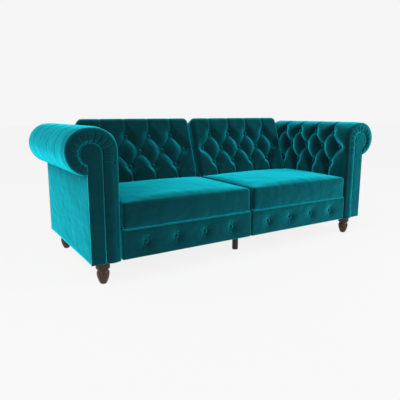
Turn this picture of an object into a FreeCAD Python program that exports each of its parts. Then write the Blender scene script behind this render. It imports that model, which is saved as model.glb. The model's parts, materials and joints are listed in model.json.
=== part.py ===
"""Chesterfield sofa bed: two scroll arms, two seat boxes and two backs that recline flat.

Millimetres, +Z up, +X to the right of someone who faces the sofa, -Y towards them.
The pieces are drawn with Y = 0 at the arm fronts and moved to mid depth when they are written,
so the origin is on the floor under the middle of the sofa. The right-hand pieces are drawn, and
the left-hand ones are their mirror images.
"""
import FreeCAD, Part
import math
import os

from FreeCAD import Vector

# Clearances
SEAM = 0.3             # between a pad and what it lies on
HOLE_PLAY = 0.15       # round a bolt or screw, on the radius
PIN_FIT = 0.02         # round a pivot pin in the arm that holds it, on the radius
PIN_PLAY = 0.05        # round a pivot pin in the arm that turns on it, on the radius
HINGE_PLAY = 0.4       # between the plates of a hinge
BUMPER_PLAY = 0.4      # between a bumper and a back that lies flat
CUT_OVER = 6.0         # how far a cutting shape stands out of what it cuts

# Whole sofa
OVERALL_WIDTH = 2240.0
LEG_HEIGHT = 126.0
PLATE_THICKNESS = 3.0
HEM = 1.0              # upholstery starts this far above the legs
CENTER_GAP = 24.0      # between the two seat boxes
ARM_GAP = 12.0         # between a seat box and an arm

# Arms
ARM_DEPTH = 838.0
ARM_HEIGHT = 816.0
ROLL_RADIUS = 118.0
ROLL_FLAT = 29.0       # level strip along the top of the roll
ROLL_OVERHANG = 103.0  # roll beyond the outside panel
ROLL_EDGE = 22.0       # rounding at the front of the roll
FORMER_RADIUS = 45.0
PLEAT_DEPTH = 9.0
PLEAT_REACH = 22.0
INSIDE_PAD = 55.0
INSIDE_EDGE = 14.0
LINING = 3.0
LINING_DROP = 8.0      # lining board's top below the roll axis
OUTSIDE_PANEL = 9.0
POST_DEPTH = 31.0
ARM_RAIL = 40.0
REAR_PANEL = 6.0
FACING_RECESS = 4.0
FACING = 12.0
FACING_HEAD_RADIUS = 54.0
FACING_HEAD_INSET = 125.0
FACING_HEAD_DROP = 11.0
MOUNT_RAIL_START = 47.0
MOUNT_RAIL_HEIGHT = 130.0
MOUNT_RAIL_LIFT = 20.0

# Seat boxes
SEAT_FRONT = 4.0
SEAT_DEPTH = 622.0
DECK_HEIGHT = 288.0
SEAT_EDGE_HEIGHT = 431.0
SEAT_CROWN = 18.0
SEAT_FRONT_ROUND = 24.0
SEAT_REAR_ROUND = 30.0
SEAT_END_INSET = 8.0
SEAT_END_ROUND = 16.0
FRONT_PANEL = 38.0
FRONT_PANEL_GAP = 4.0
FRONT_PANEL_ROUND = 9.0
SEAT_RAIL = 26.0
SPRING_WIRE = 3.6
SPRING_HALF_WIDTH = 26.0
SPRING_PITCH = 26.0
SPRINGS_PER_SEAT = 4
DUST_COVER = 1.5
CENTER_RAIL_START = 60.0
CENTER_RAIL_SHORT = 52.0   # middle rail ends this far before the cushion's rear
PACKER_HALF_LENGTH = 30.0
PACKER_HALF_HEIGHT = 40.0

# Backs
BACK_RAKE = 19.5
BED_RISE = 9.0         # bed surface above the edge of the seat
PIVOT_DEPTH = 30.0     # pivot below the bed surface and behind the front of the back
PIVOT_SETBACK = 6.8    # pivot behind the seat cushion
BACK_LIFT = 10.0       # lower end of the back above the pivot
BACK_LENGTH = 445.0
BACK_PAD = 85.0
BACK_TOP_ROUND = 28.0
BACK_REAR_ROUND = 12.0
BACK_END_INSET = 9.0
BACK_END_ROUND = 16.0
BACK_FRAME = 33.0
BACK_STILE = 60.0
BACK_TOP_COVER = 13.0  # pad above the top of the frame
BACK_CORNER = 26.0     # upper corners of the stiles and rear board
WEBBING = 2.0
WEBBING_WIDTH = 50.0
WEBBING_STRAPS = 5
REAR_BOARD = 5.0
REAR_BOARD_RIM = 2.0

# Buttons and tufts
BUTTON_RADIUS = 12.0
BUTTON_HEIGHT = 8.0
BUTTON_ROUND = 5.0
TUFT_DEPTH = 38.0
TUFT_RIM = 44.0
TUFT_SEAT = 13.5
FOLD_HALF_WIDTH = 56.0
FOLD_INNER_WIDTH = 18.0
FOLD_SHOULDER = 13.0
FOLD_DEPTH = 32.0
CREASE_HALF_WIDTH = 26.0
CREASE_INNER_WIDTH = 8.0
CREASE_SHOULDER = 7.0
CREASE_DEPTH = 17.0
BACK_TUFT_END = 73.5   # end button of the middle row from the end of the back
BACK_TUFT_ROW = 106.0
BACK_TUFT_LOW = 120.0  # lowest row above the pivot
BACK_WIDE_ROW = 5      # buttons in the middle row
ARM_TUFT_ROW = 118.0
ARM_TUFT_START = 95.0  # first button of the middle row behind the arm front
ARM_TUFT_END = 83.0    # last button of the middle row before the arm's rear
ARM_TUFT_TOP = 60.0    # upper row past the roll axis, along the surface
ARM_WIDE_ROW = 5
FRONT_BUTTONS = 4
FRONT_BUTTON_END = 133.5   # end button from the end of the seat box
FRONT_TUFT_DEPTH = 17.0
FRONT_TUFT_RIM = 40.0

# Legs
LEG_INSET = 182.0      # leg centre from the outside of the roll
FRONT_LEG_SETBACK = 72.0   # front leg centre behind the arm front
REAR_LEG_SETBACK = 52.0    # rear leg centre before the arm's rear
LEG_COLLAR_RADIUS = 37.5
LEG_COLLAR = 40.0
LEG_NECK_RADIUS = 29.0
LEG_NECK_DROP = 13.0
LEG_BULGE_RADIUS = 33.5
LEG_BULGE_DROP = 22.0
LEG_FOOT_RADIUS = 17.0
LEG_FOOT_EDGE = 2.0
LEG_SWELL = 2.5        # how far the taper bows outwards
CENTER_LEG_RADIUS = 19.5
CENTER_LEG_FRONT = 171.0   # front middle leg behind the arm fronts
CENTER_LEG_REAR = 106.0    # rear middle leg before the rear of the seat
LEG_PLATE_HALF = 25.0
LEG_BOLT_RADIUS = 4.0
LEG_BOLT_REACH = 30.0

# Hinges
HINGE_PLATE = 4.0
HINGE_EYE = 26.0
HINGE_ARM_HALF = 17.0
PIN_RADIUS = 6.0
PIN_HEAD_RADIUS = 11.0
PIN_HEAD = 2.4
SEAT_ARM_FORWARD = 27.0    # seat arm's strap in front of the pivot
SEAT_ARM_KNEE = 40.0       # where the strap starts, below the pivot
SEAT_ARM_FOOT = 109.1      # end of the strap below the top of the seat rail
BACK_ARM_KNEE = 62.0
BACK_ARM_LENGTH = 205.0
SCREW_RADIUS = 2.5
SCREW_HEAD_RADIUS = 4.6
SCREW_HEAD = 2.2
SCREW_REACH = 22.0
SCREWS_PER_ARM = 3
SCREW_PITCH = 38.0

# Frame bolts and the rear stretcher
BOLT_RADIUS = 5.0
BOLT_HEAD_RADIUS = 9.0
BOLT_HEAD = 6.5
BOLT_REACH = 42.0
ARM_BOLT_SETBACKS = (130.0, 330.0, 530.0)
CENTER_BOLT_SETBACKS = (200.0, 480.0)
BOLT_LIFT = 88.0       # bolts above the leg tops
STRETCHER_DEPTH = 26.0
STRETCHER_BOLT_RISE = 40.0
BUMPER_RADIUS = 12.0
BUMPER_HEIGHT = 27.3
BUMPER_INSETS = (150.0, 700.0)

# Places worked out from the sizes above
HALF_WIDTH = OVERALL_WIDTH / 2
ARM_WIDTH = 2 * ROLL_RADIUS + ROLL_FLAT
ARM_INNER_X = HALF_WIDTH - ARM_WIDTH
ARM_OUTER_X = HALF_WIDTH - ROLL_OVERHANG
ROLL_X = HALF_WIDTH - ROLL_RADIUS
SHOULDER_X = ARM_INNER_X + ROLL_RADIUS
ROLL_Z = ARM_HEIGHT - ROLL_RADIUS
LINING_X = ARM_INNER_X + INSIDE_PAD
POST_X = LINING_X + LINING
PANEL_X = ARM_OUTER_X - OUTSIDE_PANEL
POST_START = FACING_RECESS + FACING
ARM_END = ARM_DEPTH - REAR_PANEL
POST_END_START = ARM_END - POST_DEPTH
TIMBER_Z = LEG_HEIGHT + PLATE_THICKNESS
HEM_Z = LEG_HEIGHT + HEM
MOUNT_Z = TIMBER_Z + MOUNT_RAIL_LIFT
BOLT_Z = LEG_HEIGHT + BOLT_LIFT

SEAT_IN_X = CENTER_GAP / 2
SEAT_OUT_X = ARM_INNER_X - ARM_GAP
SEAT_MID_X = (SEAT_IN_X + SEAT_OUT_X) / 2
SEAT_REAR = SEAT_FRONT + SEAT_DEPTH
RAIL_START = SEAT_FRONT + FRONT_PANEL + SEAM
RAIL_END = SEAT_REAR - 2 * SEAM
RAIL_TOP = DECK_HEIGHT - SPRING_WIRE - SEAM
CENTER_LEG_SETBACKS = (CENTER_LEG_FRONT, SEAT_REAR - CENTER_LEG_REAR)

BED_HEIGHT = SEAT_EDGE_HEIGHT + BED_RISE
PIVOT_Y = SEAT_REAR + PIVOT_SETBACK
PIVOT_Z = BED_HEIGHT - PIVOT_DEPTH
PAD_FRONT = -PIVOT_DEPTH
PAD_REAR = PAD_FRONT + BACK_PAD
WEBBING_FRONT = PAD_REAR + SEAM
BACK_FRAME_FRONT = WEBBING_FRONT + WEBBING
BOARD_FRONT = BACK_FRAME_FRONT + BACK_FRAME
BOARD_REAR = BOARD_FRONT + REAR_BOARD
BACK_TOP = BACK_LIFT + BACK_LENGTH
BACK_FRAME_TOP = BACK_TOP - BACK_TOP_COVER
BOARD_TOP = BACK_FRAME_TOP + REAR_BOARD_RIM

STRETCHER_Y = POST_END_START + (POST_DEPTH - STRETCHER_DEPTH) / 2
BUMPER_TOP = PIVOT_Z - BOARD_REAR - BUMPER_PLAY
STRETCHER_TOP = BUMPER_TOP - BUMPER_HEIGHT

ARM_TUFT_PITCH = (ARM_DEPTH - ARM_TUFT_START - ARM_TUFT_END) / (ARM_WIDE_ROW - 1)
BACK_TUFT_PITCH = (SEAT_OUT_X - SEAT_IN_X - 2 * BACK_TUFT_END) / (BACK_WIDE_ROW - 1)
FRONT_BUTTON_PITCH = (SEAT_OUT_X - SEAT_IN_X - 2 * FRONT_BUTTON_END) / (FRONT_BUTTONS - 1)

RAKE_SIN = math.sin(math.radians(BACK_RAKE))
RAKE_COS = math.cos(math.radians(BACK_RAKE))
BACK_REAR_Y = PIVOT_Y + BOARD_TOP * RAKE_SIN + BOARD_REAR * RAKE_COS
MID_DEPTH = max(BACK_REAR_Y, ARM_DEPTH) / 2

ALONG_X = Vector(1, 0, 0)
ALONG_Z = Vector(0, 0, 1)
HALF_SQRT = math.sqrt(0.5)


def block(x0, x1, y0, y1, z0, z1):
    """Box between two corners."""
    return Part.makeBox(x1 - x0, y1 - y0, z1 - z0, Vector(x0, y0, z0))


def rounded_corners(shape, radius, x_places, z):
    """Block with its edges along Y rounded at these X and this Z."""
    edges = []
    for edge in shape.Edges:
        ends = edge.Vertexes
        at_height = all(abs(point.Z - z) < SEAM for point in ends)
        if at_height and any(all(abs(point.X - x) < SEAM for point in ends) for x in x_places):
            edges.append(edge)
    return shape.makeFillet(radius, edges)


def rod(radius, start, end):
    """Round bar from one point to another."""
    run = end - start
    return Part.makeCylinder(radius, run.Length, start, run)


def mirrored(shape):
    """The same shape on the other side of the sofa."""
    return shape.mirror(Vector(0, 0, 0), ALONG_X)


def group(shapes):
    """Separate solids that share one node."""
    return Part.makeCompound(shapes)


def closed_wire(place, start, *legs):
    """Closed outline: each leg is an end point, or a middle and an end point for an arc."""
    edges = []
    last = start
    for leg in legs:
        if len(leg) == 2:
            edges.append(Part.makeLine(place(*last), place(*leg)))
            last = leg
        else:
            middle = leg[:2]
            end = leg[2:]
            edges.append(Part.Arc(place(*last), place(*middle), place(*end)).toShape())
            last = end
    edges.append(Part.makeLine(place(*last), place(*start)))
    return Part.Wire(edges)


def at_y(y):
    """Maps an X and Z pair to the upright plane at depth y."""
    return lambda x, z: Vector(x, y, z)


def at_x(x):
    """Maps a Y and Z pair to the upright plane at x."""
    return lambda y, z: Vector(x, y, z)


def plate(wire, run):
    """Solid of one outline pushed along run."""
    return Part.Face(wire).extrude(run)


def link(x0, x1, first, first_radius, second, second_radius):
    """Flat link from x0 to x1 round two (y, z) centres, straight between the two rounds."""
    start = Vector(x0, *first)
    end = Vector(x0, *second)
    run = end - start
    spread = math.asin((first_radius - second_radius) / run.Length)
    heading = math.atan2(run.z, run.y)
    corners = []
    for centre, radius in ((start, first_radius), (end, second_radius)):
        for side in (1, -1):
            turn = heading + side * (math.pi / 2 - spread)
            corners.append(centre + Vector(0, math.cos(turn), math.sin(turn)) * radius)
    outline = [corners[0], corners[1], corners[3], corners[2], corners[0]]
    width = Vector(x1 - x0, 0, 0)
    web = Part.Face(Part.makePolygon(outline)).extrude(width)
    rounds = [rod(first_radius, start, start + width), rod(second_radius, end, end + width)]
    return web.fuse(rounds).removeSplitter()


def fold_cutter(start, end, normal, half_width, inner_width, shoulder, depth):
    """Valley between two pillows, from start to end on the pad's surface."""
    run = end - start
    along = Vector(run).normalize()
    up = (normal - along * normal.dot(along)).normalize()
    side = along.cross(up)
    spread = half_width + (half_width - inner_width) / shoulder * CUT_OVER
    profile = [
        (-spread, CUT_OVER), (-inner_width, -shoulder), (0.0, -depth),
        (inner_width, -shoulder), (spread, CUT_OVER), (-spread, CUT_OVER),
    ]
    points = [start + side * across + up * height for across, height in profile]
    return Part.Face(Part.makePolygon(points)).extrude(run)


def diagonal_fold(start, end, normal):
    """Wide fold between two buttons."""
    return fold_cutter(start, end, normal, FOLD_HALF_WIDTH, FOLD_INNER_WIDTH, FOLD_SHOULDER, FOLD_DEPTH)


def straight_crease(start, end, normal):
    """Narrow crease from a button to the edge of the pad."""
    return fold_cutter(
        start, end, normal, CREASE_HALF_WIDTH, CREASE_INNER_WIDTH, CREASE_SHOULDER, CREASE_DEPTH
    )


def dimple_cutter(point, normal, depth, rim):
    """Hollow over a button, with a flat seat for it."""
    slope = (rim - TUFT_SEAT) / depth
    height = depth + CUT_OVER
    return Part.makeCone(TUFT_SEAT, TUFT_SEAT + slope * height, height, point - normal * depth, normal)


def button(point, normal, depth):
    """Covered button in the seat of a hollow: a low disc with a rounded top."""
    disc = Part.makeCylinder(BUTTON_RADIUS, BUTTON_HEIGHT)
    top = [edge for edge in disc.Edges if edge.BoundBox.ZMin > BUTTON_HEIGHT / 2]
    disc = disc.makeFillet(BUTTON_ROUND, top)
    disc.Placement = FreeCAD.Placement(
        point - normal * (depth - SEAM), FreeCAD.Rotation(ALONG_Z, normal)
    )
    return disc


def bolt(head_end, tip, radius, head_radius, head):
    """Bolt with a round head just outside head_end, and its tip at tip."""
    along = (tip - head_end).normalize()
    return rod(radius, head_end, tip).fuse(rod(head_radius, head_end - along * head, head_end))


def bore(head_end, tip, radius):
    """Hole that a bolt or screw passes through, open past both ends."""
    along = (tip - head_end).normalize()
    return rod(radius + HOLE_PLAY, head_end - along, tip + along)


def spread_about(middle, count, pitch):
    """Places of count things at one pitch, centred on middle."""
    return [middle + (i - (count - 1) / 2) * pitch for i in range(count)]


# Tuft layouts: a spot is a pair of its rise along the padded surface and its place across it
def arm_surface(rise, y):
    """Point and outward direction on the inside of the arm, with the rise from the roll axis."""
    if rise <= 0:
        return Vector(ARM_INNER_X, y, ROLL_Z + rise), Vector(-1, 0, 0)
    turn = rise / ROLL_RADIUS
    outward = Vector(-math.cos(turn), 0, math.sin(turn))
    return Vector(SHOULDER_X, y, ROLL_Z) + outward * ROLL_RADIUS, outward


def back_surface(rise, x):
    """Point and outward direction on the front of the back, in the back's own frame."""
    return Vector(x, PAD_FRONT, rise), Vector(0, -1, 0)


def panel_surface(rise, x):
    """Point and outward direction on the front panel of a seat box."""
    return Vector(x, SEAT_FRONT, rise), Vector(0, -1, 0)


def arm_tuft_rows():
    """Upper, middle and lower row of spots on the inside of the arm."""
    wide = [ARM_TUFT_START + i * ARM_TUFT_PITCH for i in range(ARM_WIDE_ROW)]
    narrow = [y + ARM_TUFT_PITCH / 2 for y in wide[:-1]]
    rises = [ARM_TUFT_TOP - i * ARM_TUFT_ROW for i in range(3)]
    return [[(rise, y) for y in row] for rise, row in zip(rises, (narrow, wide, narrow))]


def back_tuft_rows():
    """Upper, middle and lower row of spots on the right back."""
    counts = (BACK_WIDE_ROW - 1, BACK_WIDE_ROW, BACK_WIDE_ROW - 1)
    rises = [BACK_TUFT_LOW + level * BACK_TUFT_ROW for level in (2, 1, 0)]
    return [
        [(rise, x) for x in spread_about(SEAT_MID_X, count, BACK_TUFT_PITCH)]
        for rise, count in zip(rises, counts)
    ]


def front_panel_spots():
    """Spots of the buttons on the front panel of the right seat box."""
    height = (HEM_Z + DECK_HEIGHT) / 2
    return [(height, x) for x in spread_about(SEAT_MID_X, FRONT_BUTTONS, FRONT_BUTTON_PITCH)]


def folds_between(surface, start, end):
    """Folds from one button to the next, in two lengths where the surface turns between them."""
    stops = [start, end]
    if start[0] * end[0] < 0:
        share = start[0] / (start[0] - end[0])
        stops.insert(1, (0.0, start[1] + share * (end[1] - start[1])))
    cutters = []
    for first, second in zip(stops, stops[1:]):
        here, outward = surface(*first)
        there, there_outward = surface(*second)
        cutters.append(diagonal_fold(here, there, outward + there_outward))
    return cutters


def tuft_cutters(surface, rows):
    """Hollows at all buttons and folds between neighbouring rows."""
    upper, middle, lower = rows
    spots = upper + middle + lower
    cutters = [dimple_cutter(*surface(*spot), TUFT_DEPTH, TUFT_RIM) for spot in spots]
    for row in (upper, lower):
        for i, spot in enumerate(row):
            for near in middle[i:i + 2]:
                cutters += folds_between(surface, spot, near)
    return cutters


def tuft_buttons(surface, rows):
    """Buttons of a tufted pad."""
    return group([button(*surface(*spot), TUFT_DEPTH) for row in rows for spot in row])


def crease_between(surface, start, end):
    """Narrow crease from a button to a spot past the edge of its pad."""
    here, outward = surface(*start)
    return straight_crease(here, surface(*end)[0], outward)


# Arms
def roll_section(y, inset):
    """Ring of the roll pad at depth y, drawn in by inset on its outside."""
    radius = ROLL_RADIUS - inset
    core = FORMER_RADIUS + SEAM
    low = ROLL_Z - math.sqrt(radius ** 2 - (ARM_OUTER_X - ROLL_X) ** 2)
    core_low = ROLL_Z - math.sqrt(core ** 2 - (PANEL_X - ROLL_X) ** 2)
    return closed_wire(
        at_y(y),
        (ARM_OUTER_X, low),
        (ROLL_X + radius, ROLL_Z, ROLL_X, ROLL_Z + radius),
        (SHOULDER_X, ROLL_Z + radius),
        (SHOULDER_X - radius * HALF_SQRT, ROLL_Z + radius * HALF_SQRT, SHOULDER_X - radius, ROLL_Z),
        (SHOULDER_X - core, ROLL_Z),
        (SHOULDER_X - core * HALF_SQRT, ROLL_Z + core * HALF_SQRT, SHOULDER_X, ROLL_Z + core),
        (ROLL_X, ROLL_Z + core),
        (ROLL_X + core, ROLL_Z, PANEL_X, core_low),
        (PANEL_X, low),
    )


def roll_body():
    """Padded roll with a rounded front and a crease over each upper button."""
    sections = [
        roll_section(0.0, ROLL_EDGE),
        roll_section(ROLL_EDGE * (1 - HALF_SQRT), ROLL_EDGE * (1 - HALF_SQRT)),
        roll_section(ROLL_EDGE, 0.0),
    ]
    for _, y in arm_tuft_rows()[0]:
        sections.append(roll_section(y - PLEAT_REACH, 0.0))
        sections.append(roll_section(y, PLEAT_DEPTH))
        sections.append(roll_section(y + PLEAT_REACH, 0.0))
    sections.append(roll_section(ARM_END - SEAM, 0.0))
    return Part.makeLoft(sections, True, True)


def keyhole(y0, y1, margin):
    """Keyhole outline of the front facing, larger by margin, from y0 to y1."""
    head_x = HALF_WIDTH - FACING_HEAD_INSET
    head_z = ROLL_Z - FACING_HEAD_DROP
    radius = FACING_HEAD_RADIUS + margin
    outer = ARM_OUTER_X + margin
    inner = head_x - radius
    neck = head_z - math.sqrt(radius ** 2 - (outer - head_x) ** 2)
    wire = closed_wire(
        at_y(y0),
        (outer, HEM_Z - margin),
        (outer, neck),
        (head_x + radius, head_z, head_x, head_z + radius),
        (head_x - radius * HALF_SQRT, head_z + radius * HALF_SQRT, inner, head_z),
        (inner, HEM_Z - margin),
    )
    return plate(wire, Vector(0, y1 - y0, 0))


def arm_creases():
    """Creases that run from the outer buttons to the edges of the inside pad."""
    _, middle, lower = arm_tuft_rows()
    deck = DECK_HEIGHT - ROLL_Z
    cutters = [crease_between(arm_surface, (rise, y), (deck, y)) for rise, y in lower]
    rise = middle[0][0]
    cutters.append(crease_between(arm_surface, middle[0], (rise, -CUT_OVER)))
    cutters.append(crease_between(arm_surface, middle[-1], (rise, ARM_DEPTH)))
    return cutters


def mount_rail_box(margin):
    """Rail of the arm that a seat box is bolted to."""
    return block(
        ARM_INNER_X - margin, POST_X,
        MOUNT_RAIL_START - margin, SEAT_REAR + margin,
        MOUNT_Z - margin, MOUNT_Z + MOUNT_RAIL_HEIGHT + margin,
    )


def stretcher_box(margin):
    """Rail between the rear posts of the two arms."""
    return block(
        -POST_X - margin, POST_X + margin,
        STRETCHER_Y - margin, STRETCHER_Y + STRETCHER_DEPTH + margin,
        TIMBER_Z - margin, STRETCHER_TOP + margin,
    )


def inside_pad_body():
    """Inside pad with its front border, as wide as the strip beside the facing."""
    border = HALF_WIDTH - FACING_HEAD_INSET - FACING_HEAD_RADIUS - SEAM
    edge = INSIDE_EDGE * (1 - HALF_SQRT)
    wire = closed_wire(
        lambda x, y: Vector(x, y, HEM_Z),
        (ARM_INNER_X, ARM_END - SEAM),
        (ARM_INNER_X, INSIDE_EDGE),
        (ARM_INNER_X + edge, edge, ARM_INNER_X + INSIDE_EDGE, 0.0),
        (border - INSIDE_EDGE, 0.0),
        (border - edge, edge, border, INSIDE_EDGE),
        (border, POST_START - SEAM),
        (LINING_X - SEAM, POST_START - SEAM),
        (LINING_X - SEAM, ARM_END - SEAM),
    )
    body = plate(wire, Vector(0, 0, ROLL_Z - SEAM - HEM_Z))
    low_notch = block(
        ARM_INNER_X - CUT_OVER, LINING_X + CUT_OVER,
        MOUNT_RAIL_START - SEAM, SEAT_REAR + SEAM,
        0.0, MOUNT_Z + MOUNT_RAIL_HEIGHT + SEAM,
    )
    return body.cut([low_notch, stretcher_box(SEAM)])


def arm_pads():
    """Roll pad and inside pad of the right arm, with their tufts."""
    cutters = tuft_cutters(arm_surface, arm_tuft_rows())
    facing = keyhole(-CUT_OVER, POST_START, SEAM)
    roll = roll_body().cut(cutters + [facing])
    inside = inside_pad_body().cut(cutters + arm_creases())
    return roll, inside


def arm_buttons():
    """Buttons of the inside of the right arm."""
    return tuft_buttons(arm_surface, arm_tuft_rows())


def arm_outside_panel():
    """Plain panel under the roll on the outside of the arm."""
    top = ROLL_Z - ROLL_RADIUS - SEAM
    return block(PANEL_X, ARM_OUTER_X, POST_START + SEAM, ARM_END - SEAM, HEM_Z, top)


def arm_front_facing():
    """Flat keyhole-shaped facing on the front of the arm."""
    return keyhole(FACING_RECESS, POST_START - SEAM, 0.0)


def arm_rear_panel():
    """Panel that closes the rear end of the arm."""
    low = ROLL_Z - math.sqrt(ROLL_RADIUS ** 2 - (ARM_OUTER_X - ROLL_X) ** 2)
    corner = ROLL_RADIUS * HALF_SQRT
    wire = closed_wire(
        at_y(ARM_END),
        (ARM_OUTER_X, HEM_Z),
        (ARM_OUTER_X, low),
        (HALF_WIDTH, ROLL_Z, ROLL_X, ARM_HEIGHT),
        (SHOULDER_X, ARM_HEIGHT),
        (SHOULDER_X - corner, ROLL_Z + corner, ARM_INNER_X, ROLL_Z),
        (ARM_INNER_X, HEM_Z),
    )
    return plate(wire, Vector(0, REAR_PANEL, 0))


def roll_former():
    """Timber core of the roll."""
    start = POST_START
    run = Vector(0, ARM_END - POST_START, 0)
    ends = [Part.makeCylinder(FORMER_RADIUS, run.y, Vector(x, start, ROLL_Z), run)
            for x in (SHOULDER_X, ROLL_X)]
    web = block(SHOULDER_X, ROLL_X, start, ARM_END, ROLL_Z - FORMER_RADIUS, ROLL_Z + FORMER_RADIUS)
    return web.fuse(ends).removeSplitter()


def arm_frame():
    """Timbers of the right arm: posts, rails, roll core, lining board and seat mounting rail."""
    post_top = ROLL_Z - FORMER_RADIUS
    rail_run = (POST_X, PANEL_X, POST_START + ARM_RAIL, POST_END_START)
    lining_low = max(MOUNT_Z + MOUNT_RAIL_HEIGHT, STRETCHER_TOP) + SEAM
    front_post = block(POST_X, PANEL_X, POST_START, POST_START + ARM_RAIL, TIMBER_Z, post_top)
    rear_post = block(POST_X, PANEL_X, POST_END_START, ARM_END, TIMBER_Z, post_top)
    low_rail = block(*rail_run, TIMBER_Z, TIMBER_Z + ARM_RAIL)
    top_rail = block(*rail_run, post_top - ARM_RAIL, post_top)
    lining = block(LINING_X, POST_X, POST_START, ARM_END, lining_low, ROLL_Z - LINING_DROP)
    mount_rail = mount_rail_box(0.0).cut([bore(*ends, BOLT_RADIUS) for ends in arm_bolt_ends()])
    low_rail = low_rail.cut([bore(*ends, LEG_BOLT_RADIUS) for ends in arm_leg_bolt_ends()])
    for head_end, tip in stretcher_bolt_ends():
        sunk = rod(BOLT_HEAD_RADIUS + HOLE_PLAY, head_end, Vector(PANEL_X, head_end.y, head_end.z))
        rear_post = rear_post.cut([bore(head_end, tip, BOLT_RADIUS), sunk])
    return group([front_post, rear_post, low_rail, top_rail, roll_former(), lining, mount_rail])


# Legs
def leg_centres():
    """X and Y of the right-hand legs, front and rear."""
    x = HALF_WIDTH - LEG_INSET
    return [(x, FRONT_LEG_SETBACK), (x, ARM_DEPTH - REAR_LEG_SETBACK)]


def leg_bolt_ends(x, y):
    """Lower and upper end of a leg's hanger bolt."""
    return Vector(x, y, LEG_HEIGHT - LEG_BOLT_REACH), Vector(x, y, TIMBER_Z + LEG_BOLT_REACH)


def arm_leg_bolt_ends():
    """Bolt ends of the two legs under the right arm."""
    return [leg_bolt_ends(x, y) for x, y in leg_centres()]


def turned_leg(x, y):
    """Turned leg: collar, neck, bulge and a bowed taper to the foot."""
    collar = LEG_HEIGHT - LEG_COLLAR
    neck = collar - LEG_NECK_DROP
    bulge = neck - LEG_BULGE_DROP
    between = (LEG_NECK_RADIUS + LEG_BULGE_RADIUS) / 2
    wire = closed_wire(
        at_x(0.0),
        (0.0, 0.0),
        (LEG_FOOT_RADIUS - LEG_FOOT_EDGE, 0.0),
        (LEG_FOOT_RADIUS, LEG_FOOT_EDGE),
        ((LEG_FOOT_RADIUS + LEG_BULGE_RADIUS) / 2 + LEG_SWELL, bulge / 2, LEG_BULGE_RADIUS, bulge),
        (between + LEG_FOOT_EDGE, (neck + bulge) / 2, LEG_NECK_RADIUS, neck),
        (LEG_NECK_RADIUS + LEG_FOOT_EDGE, neck + LEG_NECK_DROP * HALF_SQRT, LEG_COLLAR_RADIUS, collar),
        (LEG_COLLAR_RADIUS, LEG_HEIGHT),
        (0.0, LEG_HEIGHT),
    )
    leg = Part.Face(wire).revolve(Vector(0, 0, 0), ALONG_Z, 360)
    leg.translate(Vector(x, y, 0))
    return leg.cut(bore(*leg_bolt_ends(x, y), LEG_BOLT_RADIUS))


def center_leg(y):
    """Plain round leg under the middle rail."""
    foot = Part.makeCone(
        CENTER_LEG_RADIUS - LEG_FOOT_EDGE, CENTER_LEG_RADIUS, LEG_FOOT_EDGE, Vector(0, y, 0), ALONG_Z
    )
    shaft = rod(CENTER_LEG_RADIUS, Vector(0, y, LEG_FOOT_EDGE), Vector(0, y, LEG_HEIGHT))
    return foot.fuse(shaft).cut(bore(*leg_bolt_ends(0.0, y), LEG_BOLT_RADIUS))


def leg_spots():
    """X and Y of every leg."""
    right = leg_centres()
    left = [(-x, y) for x, y in right]
    return left + right + [(0.0, y) for y in CENTER_LEG_SETBACKS]


def leg_bolts():
    """Hanger bolts of all legs."""
    return group([rod(LEG_BOLT_RADIUS, *leg_bolt_ends(x, y)) for x, y in leg_spots()])


def leg_plates():
    """Steel plates between the legs and the timber."""
    plates = []
    for x, y in leg_spots():
        half = LEG_PLATE_HALF if x else SEAT_IN_X
        square = block(x - half, x + half, y - LEG_PLATE_HALF, y + LEG_PLATE_HALF, LEG_HEIGHT, TIMBER_Z)
        plates.append(square.cut(bore(*leg_bolt_ends(x, y), LEG_BOLT_RADIUS)))
    return group(plates)


# Seat boxes
def seat_section(x, inset, crown, drop):
    """Outline of the seat cushion at x, drawn in by inset, with its top lowered by drop."""
    front = SEAT_FRONT + inset
    rear = SEAT_REAR - inset
    top = SEAT_EDGE_HEIGHT - drop
    front_edge = SEAT_FRONT_ROUND * (1 - HALF_SQRT)
    rear_edge = SEAT_REAR_ROUND * (1 - HALF_SQRT)
    return closed_wire(
        at_x(x),
        (front, DECK_HEIGHT),
        (front, top - SEAT_FRONT_ROUND),
        (front + front_edge, top - front_edge, front + SEAT_FRONT_ROUND, top),
        ((front + rear) / 2, top + crown, rear - SEAT_REAR_ROUND, top),
        (rear - rear_edge, top - rear_edge, rear, top - SEAT_REAR_ROUND),
        (rear, DECK_HEIGHT),
    )


def seat_cushion():
    """Crowned seat cushion whose ends are rounded and drawn in."""
    start = SEAT_IN_X + SEAM
    end = SEAT_OUT_X - SEAM
    quarter = (end - start) / 4
    edge = SEAT_END_INSET * (1 - HALF_SQRT)
    steps = [
        (0.0, SEAT_END_INSET, SEAT_CROWN / 6, SEAT_END_INSET),
        (SEAT_END_ROUND * (1 - HALF_SQRT), edge, SEAT_CROWN / 4, edge),
        (SEAT_END_ROUND, 0.0, SEAT_CROWN / 3, 0.0),
        (quarter, 0.0, SEAT_CROWN * 5 / 6, 0.0),
    ]
    sections = [seat_section(start + step[0], *step[1:]) for step in steps]
    sections.append(seat_section((start + end) / 2, 0.0, SEAT_CROWN, 0.0))
    sections += [seat_section(end - step[0], *step[1:]) for step in reversed(steps)]
    return Part.makeLoft(sections, True, True)


def seat_front_panel():
    """Padded front of the seat box, held in by its buttons."""
    panel = block(
        FRONT_PANEL_GAP, ARM_INNER_X - FRONT_PANEL_GAP,
        SEAT_FRONT, SEAT_FRONT + FRONT_PANEL, HEM_Z, DECK_HEIGHT - SEAM,
    )
    rim = [edge for edge in panel.Edges if edge.BoundBox.YMax < SEAT_FRONT + SEAM]
    panel = panel.makeFillet(FRONT_PANEL_ROUND, rim)
    spots = [panel_surface(*spot) for spot in front_panel_spots()]
    return panel.cut([dimple_cutter(*spot, FRONT_TUFT_DEPTH, FRONT_TUFT_RIM) for spot in spots])


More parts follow.
